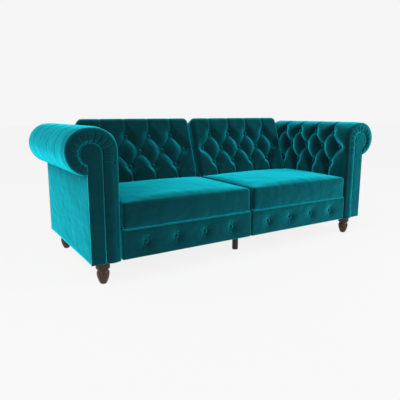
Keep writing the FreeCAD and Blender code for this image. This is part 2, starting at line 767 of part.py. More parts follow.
def seat_front_buttons():
    """Buttons of both front panels."""
    right = [button(*panel_surface(*spot), FRONT_TUFT_DEPTH) for spot in front_panel_spots()]
    return group([mirrored(one) for one in right] + right)


def arm_bolt_ends():
    """Head end and tip of the bolts from the right seat box into the arm."""
    head_x = SEAT_OUT_X - SEAT_RAIL
    tip_x = ARM_INNER_X + BOLT_REACH
    return [(Vector(head_x, y, BOLT_Z), Vector(tip_x, y, BOLT_Z)) for y in ARM_BOLT_SETBACKS]


def center_bolt_ends():
    """Head end and tip of the bolts through the middle rail."""
    reach = SEAT_IN_X + SEAT_RAIL
    return [(Vector(-reach, y, BOLT_Z), Vector(reach, y, BOLT_Z)) for y in CENTER_BOLT_SETBACKS]


def stretcher_bolt_ends():
    """Head end and tip of the bolts from the right rear post into the stretcher."""
    head_x = PANEL_X - BOLT_HEAD - SEAM
    tip_x = POST_X - BOLT_REACH
    y = STRETCHER_Y + STRETCHER_DEPTH / 2
    middle = (TIMBER_Z + STRETCHER_TOP) / 2
    heights = [middle - STRETCHER_BOLT_RISE, middle + STRETCHER_BOLT_RISE]
    return [(Vector(head_x, y, z), Vector(tip_x, y, z)) for z in heights]


def frame_bolts():
    """Bolts that hold arms, seat boxes, middle rail and stretcher together."""
    sides = arm_bolt_ends() + stretcher_bolt_ends()
    right = [bolt(*ends, BOLT_RADIUS, BOLT_HEAD_RADIUS, BOLT_HEAD) for ends in sides]
    middle = [bolt(*ends, BOLT_RADIUS, BOLT_HEAD_RADIUS, BOLT_HEAD) for ends in center_bolt_ends()]
    return group([mirrored(one) for one in right] + right + middle)


def seat_frame():
    """Front and end rails of the right seat box, with packers against the arm."""
    low, high = TIMBER_Z, RAIL_TOP
    inner_end = SEAT_IN_X + SEAT_RAIL
    outer_end = SEAT_OUT_X - SEAT_RAIL
    inner = block(SEAT_IN_X, inner_end, RAIL_START, RAIL_END, low, high)
    outer = block(outer_end, SEAT_OUT_X, RAIL_START, RAIL_END, low, high)
    front = block(inner_end, outer_end, RAIL_START, RAIL_START + SEAT_RAIL, low, high)
    arm_bores = [bore(*ends, BOLT_RADIUS) for ends in arm_bolt_ends()]
    inner = inner.cut([bore(*ends, BOLT_RADIUS) for ends in center_bolt_ends()])
    outer = outer.cut(arm_bores)
    screw_bores = [bore(*ends, SCREW_RADIUS) for ends in seat_screw_ends()]
    inner = inner.cut(screw_bores)
    outer = outer.cut(screw_bores)
    timbers = [inner, outer, front]
    for y in ARM_BOLT_SETBACKS:
        packer = block(
            SEAT_OUT_X, ARM_INNER_X, y - PACKER_HALF_LENGTH, y + PACKER_HALF_LENGTH,
            BOLT_Z - PACKER_HALF_HEIGHT, BOLT_Z + PACKER_HALF_HEIGHT,
        )
        timbers.append(packer.cut(arm_bores))
    return group(timbers)


def seat_rear_rail():
    """Rear rail of the right seat box, between its end rails."""
    ends = (SEAT_IN_X + SEAT_RAIL, SEAT_OUT_X - SEAT_RAIL)
    return block(*ends, RAIL_END - SEAT_RAIL, RAIL_END, TIMBER_Z, RAIL_TOP)


def sinuous_spring(x):
    """Zigzag wire from the front rail to the rear rail of the seat box."""
    bend = SPRING_PITCH / 2
    reach = SPRING_HALF_WIDTH - bend
    z = RAIL_TOP + SPRING_WIRE / 2 + SEAM / 2
    first = RAIL_START + SEAT_RAIL / 2
    runs = int((RAIL_END - SEAT_RAIL / 2 - first) / SPRING_PITCH) + 1
    edges = []
    for i in range(runs):
        y = first + i * SPRING_PITCH
        way = 1 if i % 2 == 0 else -1
        start = Vector(x - way * reach, y, z)
        end = Vector(x + way * reach, y, z)
        edges.append(Part.makeLine(start, end))
        if i < runs - 1:
            side = Vector(x + way * SPRING_HALF_WIDTH, y + bend, z)
            corner = bend * (1 - HALF_SQRT)
            lower = Vector(side.x - way * corner, side.y - bend * HALF_SQRT, z)
            upper = Vector(side.x - way * corner, side.y + bend * HALF_SQRT, z)
            after = end + Vector(0, SPRING_PITCH, 0)
            edges.append(Part.Arc(end, lower, side).toShape())
            edges.append(Part.Arc(side, upper, after).toShape())
    path = Part.Wire(edges)
    start = edges[0].Vertexes[0].Point
    ring = Part.Wire(Part.makeCircle(SPRING_WIRE / 2, start, ALONG_X))
    return path.makePipeShell([ring], True, False)


def seat_springs():
    """Springs side by side over the right seat box."""
    pitch = (SEAT_OUT_X - SEAT_IN_X) / (SPRINGS_PER_SEAT + 1)
    return group([sinuous_spring(x) for x in spread_about(SEAT_MID_X, SPRINGS_PER_SEAT, pitch)])


def seat_dust_cover():
    """Cloth sheet under the right seat box."""
    return block(SEAT_IN_X + SEAM, SEAT_OUT_X, RAIL_START, RAIL_END, TIMBER_Z - DUST_COVER, TIMBER_Z)


def center_rail():
    """Middle rail between the two seat boxes, on the middle legs."""
    end = SEAT_REAR - CENTER_RAIL_SHORT
    rail = block(-SEAT_IN_X, SEAT_IN_X, CENTER_RAIL_START, end, TIMBER_Z, RAIL_TOP)
    bores = [bore(*ends, BOLT_RADIUS) for ends in center_bolt_ends()]
    bores += [bore(*leg_bolt_ends(0.0, y), LEG_BOLT_RADIUS) for y in CENTER_LEG_SETBACKS]
    return rail.cut(bores)


def rear_stretcher():
    """Rail between the rear posts, which carries the bumpers."""
    right = [bore(*ends, BOLT_RADIUS) for ends in stretcher_bolt_ends()]
    return stretcher_box(0.0).cut(right + [mirrored(one) for one in right])


def bed_bumpers():
    """Rubber bumpers that a flat back lies on."""
    y = STRETCHER_Y + STRETCHER_DEPTH / 2
    places = [side * x for x in BUMPER_INSETS for side in (-1, 1)]
    ends = [(Vector(x, y, STRETCHER_TOP), Vector(x, y, BUMPER_TOP)) for x in places]
    return group([rod(BUMPER_RADIUS, *pair) for pair in ends])


# Backs, drawn upright with the pivot at the origin and +Y to the rear
def raked(shape):
    """Moves a shape from the back's own frame to its place on the sofa."""
    placed = shape.copy()
    placed.rotate(Vector(0, 0, 0), ALONG_X, -BACK_RAKE)
    placed.translate(Vector(0, PIVOT_Y, PIVOT_Z))
    return placed


def back_section(x, inset):
    """Outline of the back pad at x, drawn in by inset."""
    front = PAD_FRONT + inset
    low = BACK_LIFT + inset
    top = BACK_TOP - inset
    low_round = PIVOT_DEPTH
    low_edge = low_round * (1 - HALF_SQRT)
    top_edge = BACK_TOP_ROUND * (1 - HALF_SQRT)
    rear_edge = BACK_REAR_ROUND * (1 - HALF_SQRT)
    return closed_wire(
        at_x(x),
        (PAD_REAR, low),
        (front + low_round, low),
        (front + low_edge, low + low_edge, front, low + low_round),
        (front, top - BACK_TOP_ROUND),
        (front + top_edge, top - top_edge, front + BACK_TOP_ROUND, top),
        (PAD_REAR - BACK_REAR_ROUND, top),
        (PAD_REAR - rear_edge, top - rear_edge, PAD_REAR, top - BACK_REAR_ROUND),
    )


def back_creases():
    """Creases from the outer buttons of the back to its edges."""
    upper, middle, lower = back_tuft_rows()
    cutters = [crease_between(back_surface, (rise, x), (BACK_TOP + CUT_OVER, x)) for rise, x in upper]
    cutters += [crease_between(back_surface, (rise, x), (-CUT_OVER, x)) for rise, x in lower]
    rise = middle[0][0]
    cutters.append(crease_between(back_surface, middle[0], (rise, SEAT_IN_X)))
    cutters.append(crease_between(back_surface, middle[-1], (rise, SEAT_OUT_X)))
    return cutters


def back_pad():
    """Deep-buttoned pad of the right back."""
    start = SEAT_IN_X + SEAM
    end = SEAT_OUT_X - SEAM
    edge = 1 - HALF_SQRT
    steps = [(0.0, 1.0), (edge, edge), (1.0, 0.0)]
    sections = [back_section(start + BACK_END_ROUND * a, BACK_END_INSET * b) for a, b in steps]
    sections += [back_section(end - BACK_END_ROUND * a, BACK_END_INSET * b) for a, b in reversed(steps)]
    body = Part.makeLoft(sections, True, True)
    return raked(body.cut(tuft_cutters(back_surface, back_tuft_rows()) + back_creases()))


def back_buttons():
    """Buttons of the right back."""
    return raked(tuft_buttons(back_surface, back_tuft_rows()))


def back_frame():
    """Timbers of the right back: two stiles, two rails and a middle stile."""
    low = BACK_LIFT + REAR_BOARD_RIM
    start, end = SEAT_IN_X, SEAT_OUT_X
    depth = (BACK_FRAME_FRONT, BOARD_FRONT)
    inner = block(start, start + BACK_STILE, *depth, low, BACK_FRAME_TOP)
    inner = rounded_corners(inner, BACK_CORNER, [start], BACK_FRAME_TOP)
    outer = block(end - BACK_STILE, end, *depth, low, BACK_FRAME_TOP)
    outer = rounded_corners(outer, BACK_CORNER, [end], BACK_FRAME_TOP)
    bottom = block(start + BACK_STILE, end - BACK_STILE, *depth, low, low + BACK_STILE)
    top = block(start + BACK_STILE, end - BACK_STILE, *depth, BACK_FRAME_TOP - BACK_STILE, BACK_FRAME_TOP)
    half = BACK_STILE / 2
    between = (low + BACK_STILE, BACK_FRAME_TOP - BACK_STILE)
    middle = block(SEAT_MID_X - half, SEAT_MID_X + half, *depth, *between)
    bores = [bore(*ends, SCREW_RADIUS) for ends in back_screw_ends()]
    return raked(group([inner.cut(bores), outer.cut(bores), bottom, top, middle]))


def back_webbing():
    """Upright webbing straps between the pad and the frame of the right back."""
    low = BACK_LIFT + REAR_BOARD_RIM
    pitch = (SEAT_OUT_X - SEAT_IN_X) / (WEBBING_STRAPS + 1)
    half = WEBBING_WIDTH / 2
    straps = [
        block(x - half, x + half, WEBBING_FRONT, BACK_FRAME_FRONT, low, BACK_FRAME_TOP)
        for x in spread_about(SEAT_MID_X, WEBBING_STRAPS, pitch)
    ]
    return raked(group(straps))


def back_rear_panel():
    """Board that closes the rear of the right back."""
    board = block(SEAT_IN_X, SEAT_OUT_X, BOARD_FRONT, BOARD_REAR, BACK_LIFT, BOARD_TOP)
    return raked(rounded_corners(board, BACK_CORNER, [SEAT_IN_X, SEAT_OUT_X], BOARD_TOP))


# Hinges, one at each end of a seat box, in layers that stack outwards from the end
def hinge_ends():
    """X of the two ends of the right seat box and the direction away from it."""
    return [(SEAT_IN_X, -1), (SEAT_OUT_X, 1)]


def layer(end, way, start, thickness):
    """X limits of a hinge layer that starts this far from the end of the seat box."""
    near = end + way * start
    far = near + way * thickness
    return min(near, far), max(near, far)


def seat_arm_spots():
    """Y and Z of the knee and foot of a seat arm."""
    y = PIVOT_Y - SEAT_ARM_FORWARD
    return (y, PIVOT_Z - SEAT_ARM_KNEE), (y, RAIL_TOP - SEAT_ARM_FOOT)


def back_arm_spots():
    """Y and Z of the knee and end of a back arm, in the back's own frame."""
    y = (BACK_FRAME_FRONT + BOARD_FRONT) / 2
    return (y, BACK_ARM_KNEE), (y, BACK_ARM_LENGTH)


def seat_screw_ends():
    """Head end and tip of the screws through the seat arms of the right seat box."""
    y, foot = seat_arm_spots()[1]
    ends = []
    for end, way in hinge_ends():
        head_x = end + way * HINGE_PLATE
        tip_x = end - way * SCREW_REACH
        for i in range(SCREWS_PER_ARM):
            z = foot + i * SCREW_PITCH
            ends.append((Vector(head_x, y, z), Vector(tip_x, y, z)))
    return ends


def back_screw_ends():
    """Head end and tip of the screws through the back arms, in the back's own frame."""
    y, top = back_arm_spots()[1]
    ends = []
    for end, way in hinge_ends():
        head_x = end + way * HINGE_PLATE
        tip_x = end - way * SCREW_REACH
        for i in range(SCREWS_PER_ARM):
            z = top - i * SCREW_PITCH
            ends.append((Vector(head_x, y, z), Vector(tip_x, y, z)))
    return ends


def screw(head_end, tip):
    """Round-headed screw."""
    return bolt(head_end, tip, SCREW_RADIUS, SCREW_HEAD_RADIUS, SCREW_HEAD)


def hinge_seat_arm(end, way):
    """Hinge strap on the side of the seat box, with the eye that holds the pin."""
    x0, x1 = layer(end, way, 0.0, HINGE_PLATE)
    knee, foot = seat_arm_spots()
    eye = (PIVOT_Y, PIVOT_Z)
    strap = link(x0, x1, eye, HINGE_EYE, knee, HINGE_ARM_HALF)
    strap = strap.fuse(link(x0, x1, knee, HINGE_ARM_HALF, foot, HINGE_ARM_HALF)).removeSplitter()
    holes = [bore(*ends, SCREW_RADIUS) for ends in seat_screw_ends()]
    holes.append(rod(PIN_RADIUS + PIN_FIT, Vector(x0 - 1, *eye), Vector(x1 + 1, *eye)))
    return strap.cut(holes)


def hinge_back_arm(end, way):
    """Cranked hinge strap on the side of the back: its eye runs outside the seat arm's eye."""
    inner = layer(end, way, 0.0, HINGE_PLATE)
    outer = layer(end, way, HINGE_PLATE + HINGE_PLAY, HINGE_PLATE)
    knee, top = back_arm_spots()
    eye = (0.0, 0.0)
    crank = (min(inner + outer), max(inner + outer))
    strap = link(*outer, eye, HINGE_EYE, knee, HINGE_ARM_HALF)
    boss = rod(HINGE_ARM_HALF, Vector(crank[0], *knee), Vector(crank[1], *knee))
    tail = link(*inner, knee, HINGE_ARM_HALF, top, HINGE_ARM_HALF)
    strap = strap.fuse([boss, tail]).removeSplitter()
    holes = [bore(*ends, SCREW_RADIUS) for ends in back_screw_ends()]
    holes.append(rod(PIN_RADIUS + PIN_PLAY, Vector(crank[0] - 1, *eye), Vector(crank[1] + 1, *eye)))
    return raked(strap.cut(holes))


def hinge_pins():
    """Headed pivot pins of all four hinges."""
    stack = 2 * HINGE_PLATE + 2 * HINGE_PLAY
    pins = []
    for end, way in hinge_ends():
        tip = Vector(end, PIVOT_Y, PIVOT_Z)
        head_end = Vector(end + way * stack, PIVOT_Y, PIVOT_Z)
        pins.append(bolt(head_end, tip, PIN_RADIUS, PIN_HEAD_RADIUS, PIN_HEAD))
    return group([mirrored(pin) for pin in pins] + pins)


def seat_hinge_screws():
    """Screws of the four seat arms."""
    right = [screw(*ends) for ends in seat_screw_ends()]
    return group([mirrored(one) for one in right] + right)


def back_hinge_screws():
    """Screws of the two back arms of the right back."""
    return raked(group([screw(*ends) for ends in back_screw_ends()]))


def handed_nodes():
    """Nodes that the sofa has on both sides, drawn for the right."""
    roll, inside = arm_pads()
    nodes = {
        "arm_frame": arm_frame(),
        "arm_roll_pad": roll,
        "arm_inside_pad": inside,
        "arm_outside_panel": arm_outside_panel(),
        "arm_front_facing": arm_front_facing(),
        "arm_rear_panel": arm_rear_panel(),
        "arm_buttons": arm_buttons(),
        "seat_frame": seat_frame(),
        "seat_rear_rail": seat_rear_rail(),
        "seat_springs": seat_springs(),
        "seat_cushion": seat_cushion(),
        "seat_front_panel": seat_front_panel(),
        "seat_dust_cover": seat_dust_cover(),
        "back_frame": back_frame(),
        "back_webbing": back_webbing(),
        "back_pad": back_pad(),
        "back_rear_panel": back_rear_panel(),
        "back_buttons": back_buttons(),
        "back_hinge_screws": back_hinge_screws(),
    }
    for place, (end, way) in zip(("inner", "outer"), hinge_ends()):
        nodes[f"{place}_hinge_seat_arm"] = hinge_seat_arm(end, way)
        nodes[f"{place}_hinge_back_arm"] = hinge_back_arm(end, way)
    for place, (x, y) in zip(("front", "rear"), leg_centres()):
        nodes[f"{place}_leg"] = turned_leg(x, y)
    return nodes


def single_nodes():
    """Nodes that the sofa has once."""
    return {
        "center_legs": group([center_leg(y) for y in CENTER_LEG_SETBACKS]),
        "leg_bolts": leg_bolts(),
        "leg_plates": leg_plates(),
        "seat_front_buttons": seat_front_buttons(),
        "center_rail": center_rail(),
        "rear_stretcher": rear_stretcher(),
        "bed_bumpers": bed_bumpers(),
        "frame_bolts": frame_bolts(),
        "hinge_pins": hinge_pins(),
        "seat_hinge_screws": seat_hinge_screws(),
    }


def main():
    """Writes every node, with the origin moved under the middle of the sofa."""
    os.makedirs("parts", exist_ok=True)
    nodes = single_nodes()
    for name, shape in handed_nodes().items():
        nodes[f"right_{name}"] = shape
        nodes[f"left_{name}"] = mirrored(shape)
    for name, shape in nodes.items():
        placed = shape.copy()
        placed.translate(Vector(0, -MID_DEPTH, 0))
        placed.exportStep(f"parts/{name}.step")
        print(name, len(placed.Solids), placed.isValid(), round(placed.Volume))
    print("nodes", len(nodes))
    print("pivot", 0.0, PIVOT_Y - MID_DEPTH, PIVOT_Z)
    print("legs", [(x, y - MID_DEPTH) for x, y in leg_spots()])
    print("mid depth", MID_DEPTH)


main()
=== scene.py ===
"""Looks of the chesterfield sofa bed: velvet covers, buttons, piping, wood and metal, stage and camera.

Metres, +Z up, +X to the right of someone who faces the sofa, -Y towards them. Handed pieces are
shaped for the right-hand half and mirrored in their mesh for the left-hand half.
"""
import json
import logging
import math
from dataclasses import dataclass, field
from enum import Enum
from typing import Callable, Optional, Sequence, Union

import bmesh
import bpy
from mathutils import Matrix, Vector, noise


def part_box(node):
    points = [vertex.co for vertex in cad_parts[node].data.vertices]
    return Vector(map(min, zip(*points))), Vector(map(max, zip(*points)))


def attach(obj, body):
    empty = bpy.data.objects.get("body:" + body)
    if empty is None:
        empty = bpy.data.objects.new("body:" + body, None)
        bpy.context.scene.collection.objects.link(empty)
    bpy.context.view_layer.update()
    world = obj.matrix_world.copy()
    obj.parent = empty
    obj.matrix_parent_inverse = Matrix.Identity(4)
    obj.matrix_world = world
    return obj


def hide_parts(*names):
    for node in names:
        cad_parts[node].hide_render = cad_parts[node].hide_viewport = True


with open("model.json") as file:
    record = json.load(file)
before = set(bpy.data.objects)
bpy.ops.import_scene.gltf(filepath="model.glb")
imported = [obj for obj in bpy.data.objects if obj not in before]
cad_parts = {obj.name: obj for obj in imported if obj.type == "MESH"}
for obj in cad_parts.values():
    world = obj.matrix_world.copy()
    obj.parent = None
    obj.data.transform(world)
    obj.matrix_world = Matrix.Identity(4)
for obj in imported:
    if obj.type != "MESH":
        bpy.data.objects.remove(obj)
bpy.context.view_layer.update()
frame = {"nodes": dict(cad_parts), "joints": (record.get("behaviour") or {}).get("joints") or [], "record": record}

LOG = logging.getLogger("sofa")

Spot = tuple[float, float]
Colour = tuple[float, float, float]
Value = Union["Sock", float, Sequence[float]]

BASE_BODY = "base"
VELVET_SLOT = "teal_velvet"
PIPING_FINISH = "velvet_piping"
ACROSS_LIMIT = 1e-5  # an edge that runs less than this along an axis lies across it
SEAM = 1e-6  # points closer than this are joined


class Side(Enum):
    """Half of the sofa that a piece belongs to, with the sign of its X."""

    LEFT = -1
    RIGHT = 1

    def node(self, name: str) -> str:
        """Full name of a handed node or piece."""
        return f"{self.name.lower()}_{name}"

    @property
    def back_body(self) -> str:
        """Body of the back on this side."""
        return self.node("back")


class Sock:
    """Shader value whose arithmetic adds Math nodes."""

    def __init__(self, shader: "NodeTree", socket: bpy.types.NodeSocket) -> None:
        """Wraps one output socket of a tree."""
        self.shader = shader
        self.socket = socket

    def maths(self, operation: str, *values: Value) -> "Sock":
        """Adds a Math node.

        Args:
            operation: the node's operation.
            values: its inputs in order.

        Returns:
            The node's result.
        """
        return self.shader.node("ShaderNodeMath", {"operation": operation}, dict(enumerate(values)))

    def __add__(self, other: Value) -> "Sock":
        """Sum."""
        return self.maths("ADD", self, other)

    def __radd__(self, other: Value) -> "Sock":
        """Sum with a number on the left."""
        return self.maths("ADD", other, self)

    def __sub__(self, other: Value) -> "Sock":
        """Difference."""
        return self.maths("SUBTRACT", self, other)

    def __rsub__(self, other: Value) -> "Sock":
        """Difference from a number on the left."""
        return self.maths("SUBTRACT", other, self)

    def __mul__(self, other: Value) -> "Sock":
        """Product."""
        return self.maths("MULTIPLY", self, other)


class NodeTree:
    """Node tree whose nodes are written as expressions."""

    def __init__(self, tree: bpy.types.NodeTree) -> None:
        """Wraps the tree of a material or a world."""
        self.tree = tree

    def existing(self, kind: str) -> bpy.types.Node:
        """First node of a type that the tree came with."""
        return next(node for node in self.tree.nodes if node.type == kind)

    def put(self, socket: bpy.types.NodeSocket, value: Value) -> None:
        """Links or sets one input socket."""
        if isinstance(value, Sock):
            self.tree.links.new(value.socket, socket)
        elif isinstance(value, (int, float)):
            socket.default_value = value
        elif len(value) == 3 and socket.type == "RGBA":
            socket.default_value = (*value, 1.0)
        else:
            socket.default_value = value

    def node(
        self,
        kind: str,
        settings: Optional[dict] = None,
        values: Optional[dict] = None,
        out: Union[int, str] = 0,
    ) -> Sock:
        """Adds any node.

        Args:
            kind: the node's type.
            settings: properties that are set first; "stops" are a ramp's positions and colours.
            values: numbers, colours or links for its sockets, by name or index.
            out: the output to return.

        Returns:
            That output.
        """
        made = self.tree.nodes.new(kind)
        for key, value in (settings or {}).items():
            if key == "stops":
                self.set_stops(made.color_ramp, value)
            else:
                setattr(made, key, value)
        for key, value in (values or {}).items():
            self.put(made.inputs[key], value)
        return Sock(self, made.outputs[out])

    def seen_plainly(self) -> Sock:
        """1 for rays from the camera, mirrors and glass, which see the plain floor and backdrop."""
        seen = self.node("ShaderNodeLightPath", out="Is Camera Ray")
        for kind in ("Glossy", "Transmission"):
            seen = seen.maths("MAXIMUM", seen, self.node("ShaderNodeLightPath", out=f"Is {kind} Ray"))
        return seen

    @staticmethod
    def set_stops(ramp: bpy.types.ColorRamp, stops: Sequence[tuple[float, Colour]]) -> None:
        """Gives a ramp its positions and colours."""
        while len(ramp.elements) < len(stops):
            ramp.elements.new(1.0)
        for element, (position, colour) in zip(ramp.elements, stops):
            element.position = position
            element.color = (*colour, 1.0)


class Shader(NodeTree):
    """Material with a Principled shader."""

    def __init__(self, name: str) -> None:
        """Starts the material."""
        self.material = bpy.data.materials.new(name)
        self.material.use_nodes = True
        super().__init__(self.material.node_tree)
        self.surface = self.existing("BSDF_PRINCIPLED")

    def coords(self, stretch: Sequence[float] = (1.0, 1.0, 1.0)) -> Sock:
        """Object coordinates, scaled."""
        plain = self.node("ShaderNodeTexCoord", out="Object")
        return self.node("ShaderNodeMapping", values={"Vector": plain, "Scale": stretch})

    def noise(
        self,
        vector: Sock,
        scale: float,
        detail: float = 2.0,
        distortion: float = 0.0,
        roughness: float = 0.5,
    ) -> Sock:
        """Noise value at a scale per metre."""
        return self.node("ShaderNodeTexNoise", values={
            "Vector": vector,
            "Scale": scale,
            "Detail": detail,
            "Roughness": roughness,
            "Distortion": distortion,
        })

    def ramp(self, value: Sock, stops: Sequence[tuple[float, Colour]]) -> Sock:
        """Colour ramp over a value."""
        return self.node("ShaderNodeValToRGB", {"stops": stops}, {0: value})

    def relief(self, height: Sock, depth: float) -> Sock:
        """Bump normal of a height from 0 to 1 that stands for depth in metres."""
        values = {"Strength": 1.0, "Distance": depth, "Height": height}
        return self.node("ShaderNodeBump", values=values, out="Normal")

    def principled(self, **values: Value) -> bpy.types.Material:
        """Sets the Principled inputs, named with underscores for spaces, and returns the material."""
        for key, value in values.items():
            self.put(self.surface.inputs[key.replace("_", " ")], value)
        return self.material


@dataclass(frozen=True)
class Velvet:
    """Short-pile velvet: dark when seen straight on, bright where the pile is seen from its side."""

    name: str = "teal_velvet"
    pile_dark: Colour = (0.0005, 0.0015, 0.0020)
    pile_light: Colour = (0.0010, 0.0060, 0.0078)
    bloom: Colour = (0.010, 0.83, 1.0)
    bloom_spread: float = 0.495
    brush_size: float = 8.0
    streak_size: float = 24.0
    pile_size: float = 520.0
    relief_depth: float = 0.0120
    lie: Sequence[float] = (0.9, 0.6, 1.1)

    def material(self) -> bpy.types.Material:
        """Velvet whose nap is brushed in patches, with fine pile."""
        shader = Shader(self.name)
        place = shader.coords(stretch=self.lie)
        brushed = shader.noise(place, self.brush_size, distortion=0.3, roughness=0.36)
        streaks = shader.noise(place, self.streak_size, distortion=0.35, roughness=0.3)
        pile = shader.noise(shader.coords(), self.pile_size)
        nap = brushed * 0.65 + streaks * 0.35
        height = brushed * 0.74 + streaks * 0.253 + pile * 0.007
        colour = shader.ramp(nap, [(0.32, self.pile_dark), (0.68, self.pile_light)])
        return shader.principled(
            Base_Color=colour,
            Roughness=0.78 + nap * 0.18,
            Specular_IOR_Level=0.03,
            Sheen_Weight=1.0,
            Sheen_Tint=self.bloom,
            Sheen_Roughness=self.bloom_spread,
            Normal=shader.relief(height, self.relief_depth),
        )


@dataclass(frozen=True)
class Wood:
    """Wood with grain along Z, stained and lacquered or sawn."""

    name: str
    dark: Colour
    light: Colour
    roughness: float
    lacquer: float
    grain: Sequence[float] = (38.0, 38.0, 2.6)
    specular: float = 0.4

    def material(self) -> bpy.types.Material:
        """Grain streaks with pores and a worn, uneven gloss."""
        shader = Shader(self.name)
        place = shader.coords(stretch=self.grain)
        streaks = shader.noise(place, 1.0, detail=6.0, distortion=1.2)
        pores = shader.noise(place, 7.0)
        wear = shader.noise(shader.coords(), 26.0, detail=3.0)
        figure = streaks * 0.8 + pores * 0.2
        colour = shader.ramp(figure, [(0.30, self.dark), (0.55, self.light), (0.72, self.dark)])
        return shader.principled(
            Base_Color=colour,
            Roughness=self.roughness + wear * 0.16,
            Specular_IOR_Level=self.specular,
            Coat_Weight=self.lacquer,
            Coat_Roughness=0.16,
            Normal=shader.relief(pores, 0.0002),
        )


@dataclass(frozen=True)
class Metal:
    """Plated, drawn or painted metal."""

    name: str
    dark: Colour
    light: Colour
    metallic: float
    roughness: float
    grain_size: float
    specular: float = 0.5

    def material(self) -> bpy.types.Material:
        """Metal with a fine grain and dull, handled patches."""
        shader = Shader(self.name)
        grain = shader.noise(shader.coords(), self.grain_size, detail=3.0)
        patches = shader.noise(shader.coords(), 18.0)
        mixed = grain * 0.5 + patches * 0.5
        return shader.principled(
            Base_Color=shader.ramp(mixed, [(0.3, self.dark), (0.7, self.light)]),
            Metallic=self.metallic,
            Roughness=self.roughness + patches * 0.2,
            Specular_IOR_Level=self.specular,
            Normal=shader.relief(grain, 0.00006),
        )


@dataclass(frozen=True)
class Weave:
    """Plain woven cloth or strap, with threads along X, Y and Z."""

    name: str
    dark: Colour
    light: Colour
    threads: float
    roughness: float = 0.9

    def material(self) -> bpy.types.Material:
        """Over and under threads, with slubs."""
        shader = Shader(self.name)
        place = shader.coords()
        thread = {"Vector": place, "Scale": self.threads}
        waves = [shader.node("ShaderNodeTexWave", {"bands_direction": axis}, thread) for axis in "XYZ"]
        slubs = shader.noise(place, 60.0, detail=3.0)
        cloth = waves[0] * 0.35 + waves[1] * 0.35 + waves[2] * 0.3
        tone = cloth * 0.7 + slubs * 0.3
        return shader.principled(
            Base_Color=shader.ramp(tone, [(0.25, self.dark), (0.75, self.light)]),
            Roughness=self.roughness - slubs * 0.1,
            Normal=shader.relief(cloth, 0.0004),
        )


@dataclass(frozen=True)
class Rubber:
    """Matt moulded rubber."""

    name: str = "rubber"
    dark: Colour = (0.012, 0.012, 0.012)
    light: Colour = (0.035, 0.035, 0.036)

    def material(self) -> bpy.types.Material:
        """Dull rubber with a dusty bloom."""
        shader = Shader(self.name)
        dust = shader.noise(shader.coords(), 90.0, detail=4.0)
        return shader.principled(
            Base_Color=shader.ramp(dust, [(0.35, self.dark), (0.75, self.light)]),
            Roughness=0.72 + dust * 0.2,
            Normal=shader.relief(dust, 0.0001),
        )


class Finishes:
    """Every finish of the sofa by name; those of CAD nodes are named like their material slots."""

    def __init__(self) -> None:
        """Makes each material once."""
        makers = (
            Velvet(),
            Velvet(PIPING_FINISH, bloom_spread=0.60, relief_depth=0.002),
            Wood(
                "leg_wood", dark=(0.013, 0.005, 0.0035), light=(0.042, 0.016, 0.010),
                roughness=0.34, lacquer=0.18, specular=0.22,
            ),
            Wood(
                "frame_timber", dark=(0.42, 0.27, 0.14), light=(0.66, 0.49, 0.30),
                roughness=0.62, lacquer=0.0,
            ),
            Metal(
                "spring_steel", dark=(0.30, 0.30, 0.31), light=(0.46, 0.46, 0.47),
                metallic=1.0, roughness=0.30, grain_size=240.0,
            ),
            Metal(
                "hinge_steel", dark=(0.004, 0.004, 0.005), light=(0.011, 0.011, 0.012),
                metallic=0.0, roughness=0.58, grain_size=900.0, specular=0.2,
            ),
            Metal(
                "zinc_steel", dark=(0.50, 0.50, 0.48), light=(0.68, 0.68, 0.65),
                metallic=1.0, roughness=0.28, grain_size=320.0,
            ),
            Weave("dust_cloth", dark=(0.010, 0.010, 0.011), light=(0.036, 0.036, 0.040), threads=260.0),
            Weave("webbing", dark=(0.045, 0.045, 0.050), light=(0.11, 0.11, 0.12), threads=120.0),
            Rubber(),
        )
        self.by_name = {maker.name: maker.material() for maker in makers}

    def dress_nodes(self) -> None:
        """Gives every CAD node the finish of its slot in the record."""
        for part in frame["record"]["subparts"]:
            node = frame["nodes"][part["node"]]
            node.data.materials.clear()
            node.data.materials.append(self.by_name[part["material_slot"]])


def add_object(name: str, data: bpy.types.ID) -> bpy.types.Object:
    """Object of a mesh, lamp or camera, in the scene."""
    obj = bpy.data.objects.new(name, data)
    bpy.context.scene.collection.objects.link(obj)
    return obj


@dataclass
class Workshop:
    """Turns shaped meshes into pieces that ride on the sofa's bodies."""

    finishes: Finishes

    def piece(
        self,
        bm: bmesh.types.BMesh,
        name: str,
        body: str,
        side: Optional[Side] = None,
        slot: str = VELVET_SLOT,
        finish: Optional[str] = None,
        replaces: Sequence[str] = (),
    ) -> bpy.types.Object:
        """Args:
            bm: the mesh, shaped for the right-hand half; it is freed.
            name: the piece's name, without its side.
            body: the body that it rides on.
            side: the half that the piece and its nodes are for, or None for a piece that isn't handed.
            slot: name of the finish that it wears, which is named like a material slot in the record.
            finish: the finish that it wears, if not the one named like the slot.
            replaces: CAD nodes that it stands for, without their side.

        Returns:
            The object.
        """
        if side is Side.LEFT:
            bmesh.ops.scale(bm, vec=(-1.0, 1.0, 1.0), verts=bm.verts)
            bmesh.ops.reverse_faces(bm, faces=bm.faces)
        full_name = side.node if side else str
        mesh = bpy.data.meshes.new(full_name(name))
        bm.to_mesh(mesh)
        bm.free()
        mesh.materials.append(self.finishes.by_name[finish or slot])
        mesh.shade_smooth()
        obj = add_object(full_name(name), mesh)
        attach(obj, body)
        if replaces:
            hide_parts(*(full_name(node) for node in replaces))
        LOG.info("%s on %s, %d faces", obj.name, body, len(mesh.polygons))
        return obj


def smooth_step(low: float, high: float, value: float) -> float:
    """Eases from 0 at low to 1 at high."""
    share = min(max((value - low) / (high - low), 0.0), 1.0)
    return share * share * (3.0 - 2.0 * share)


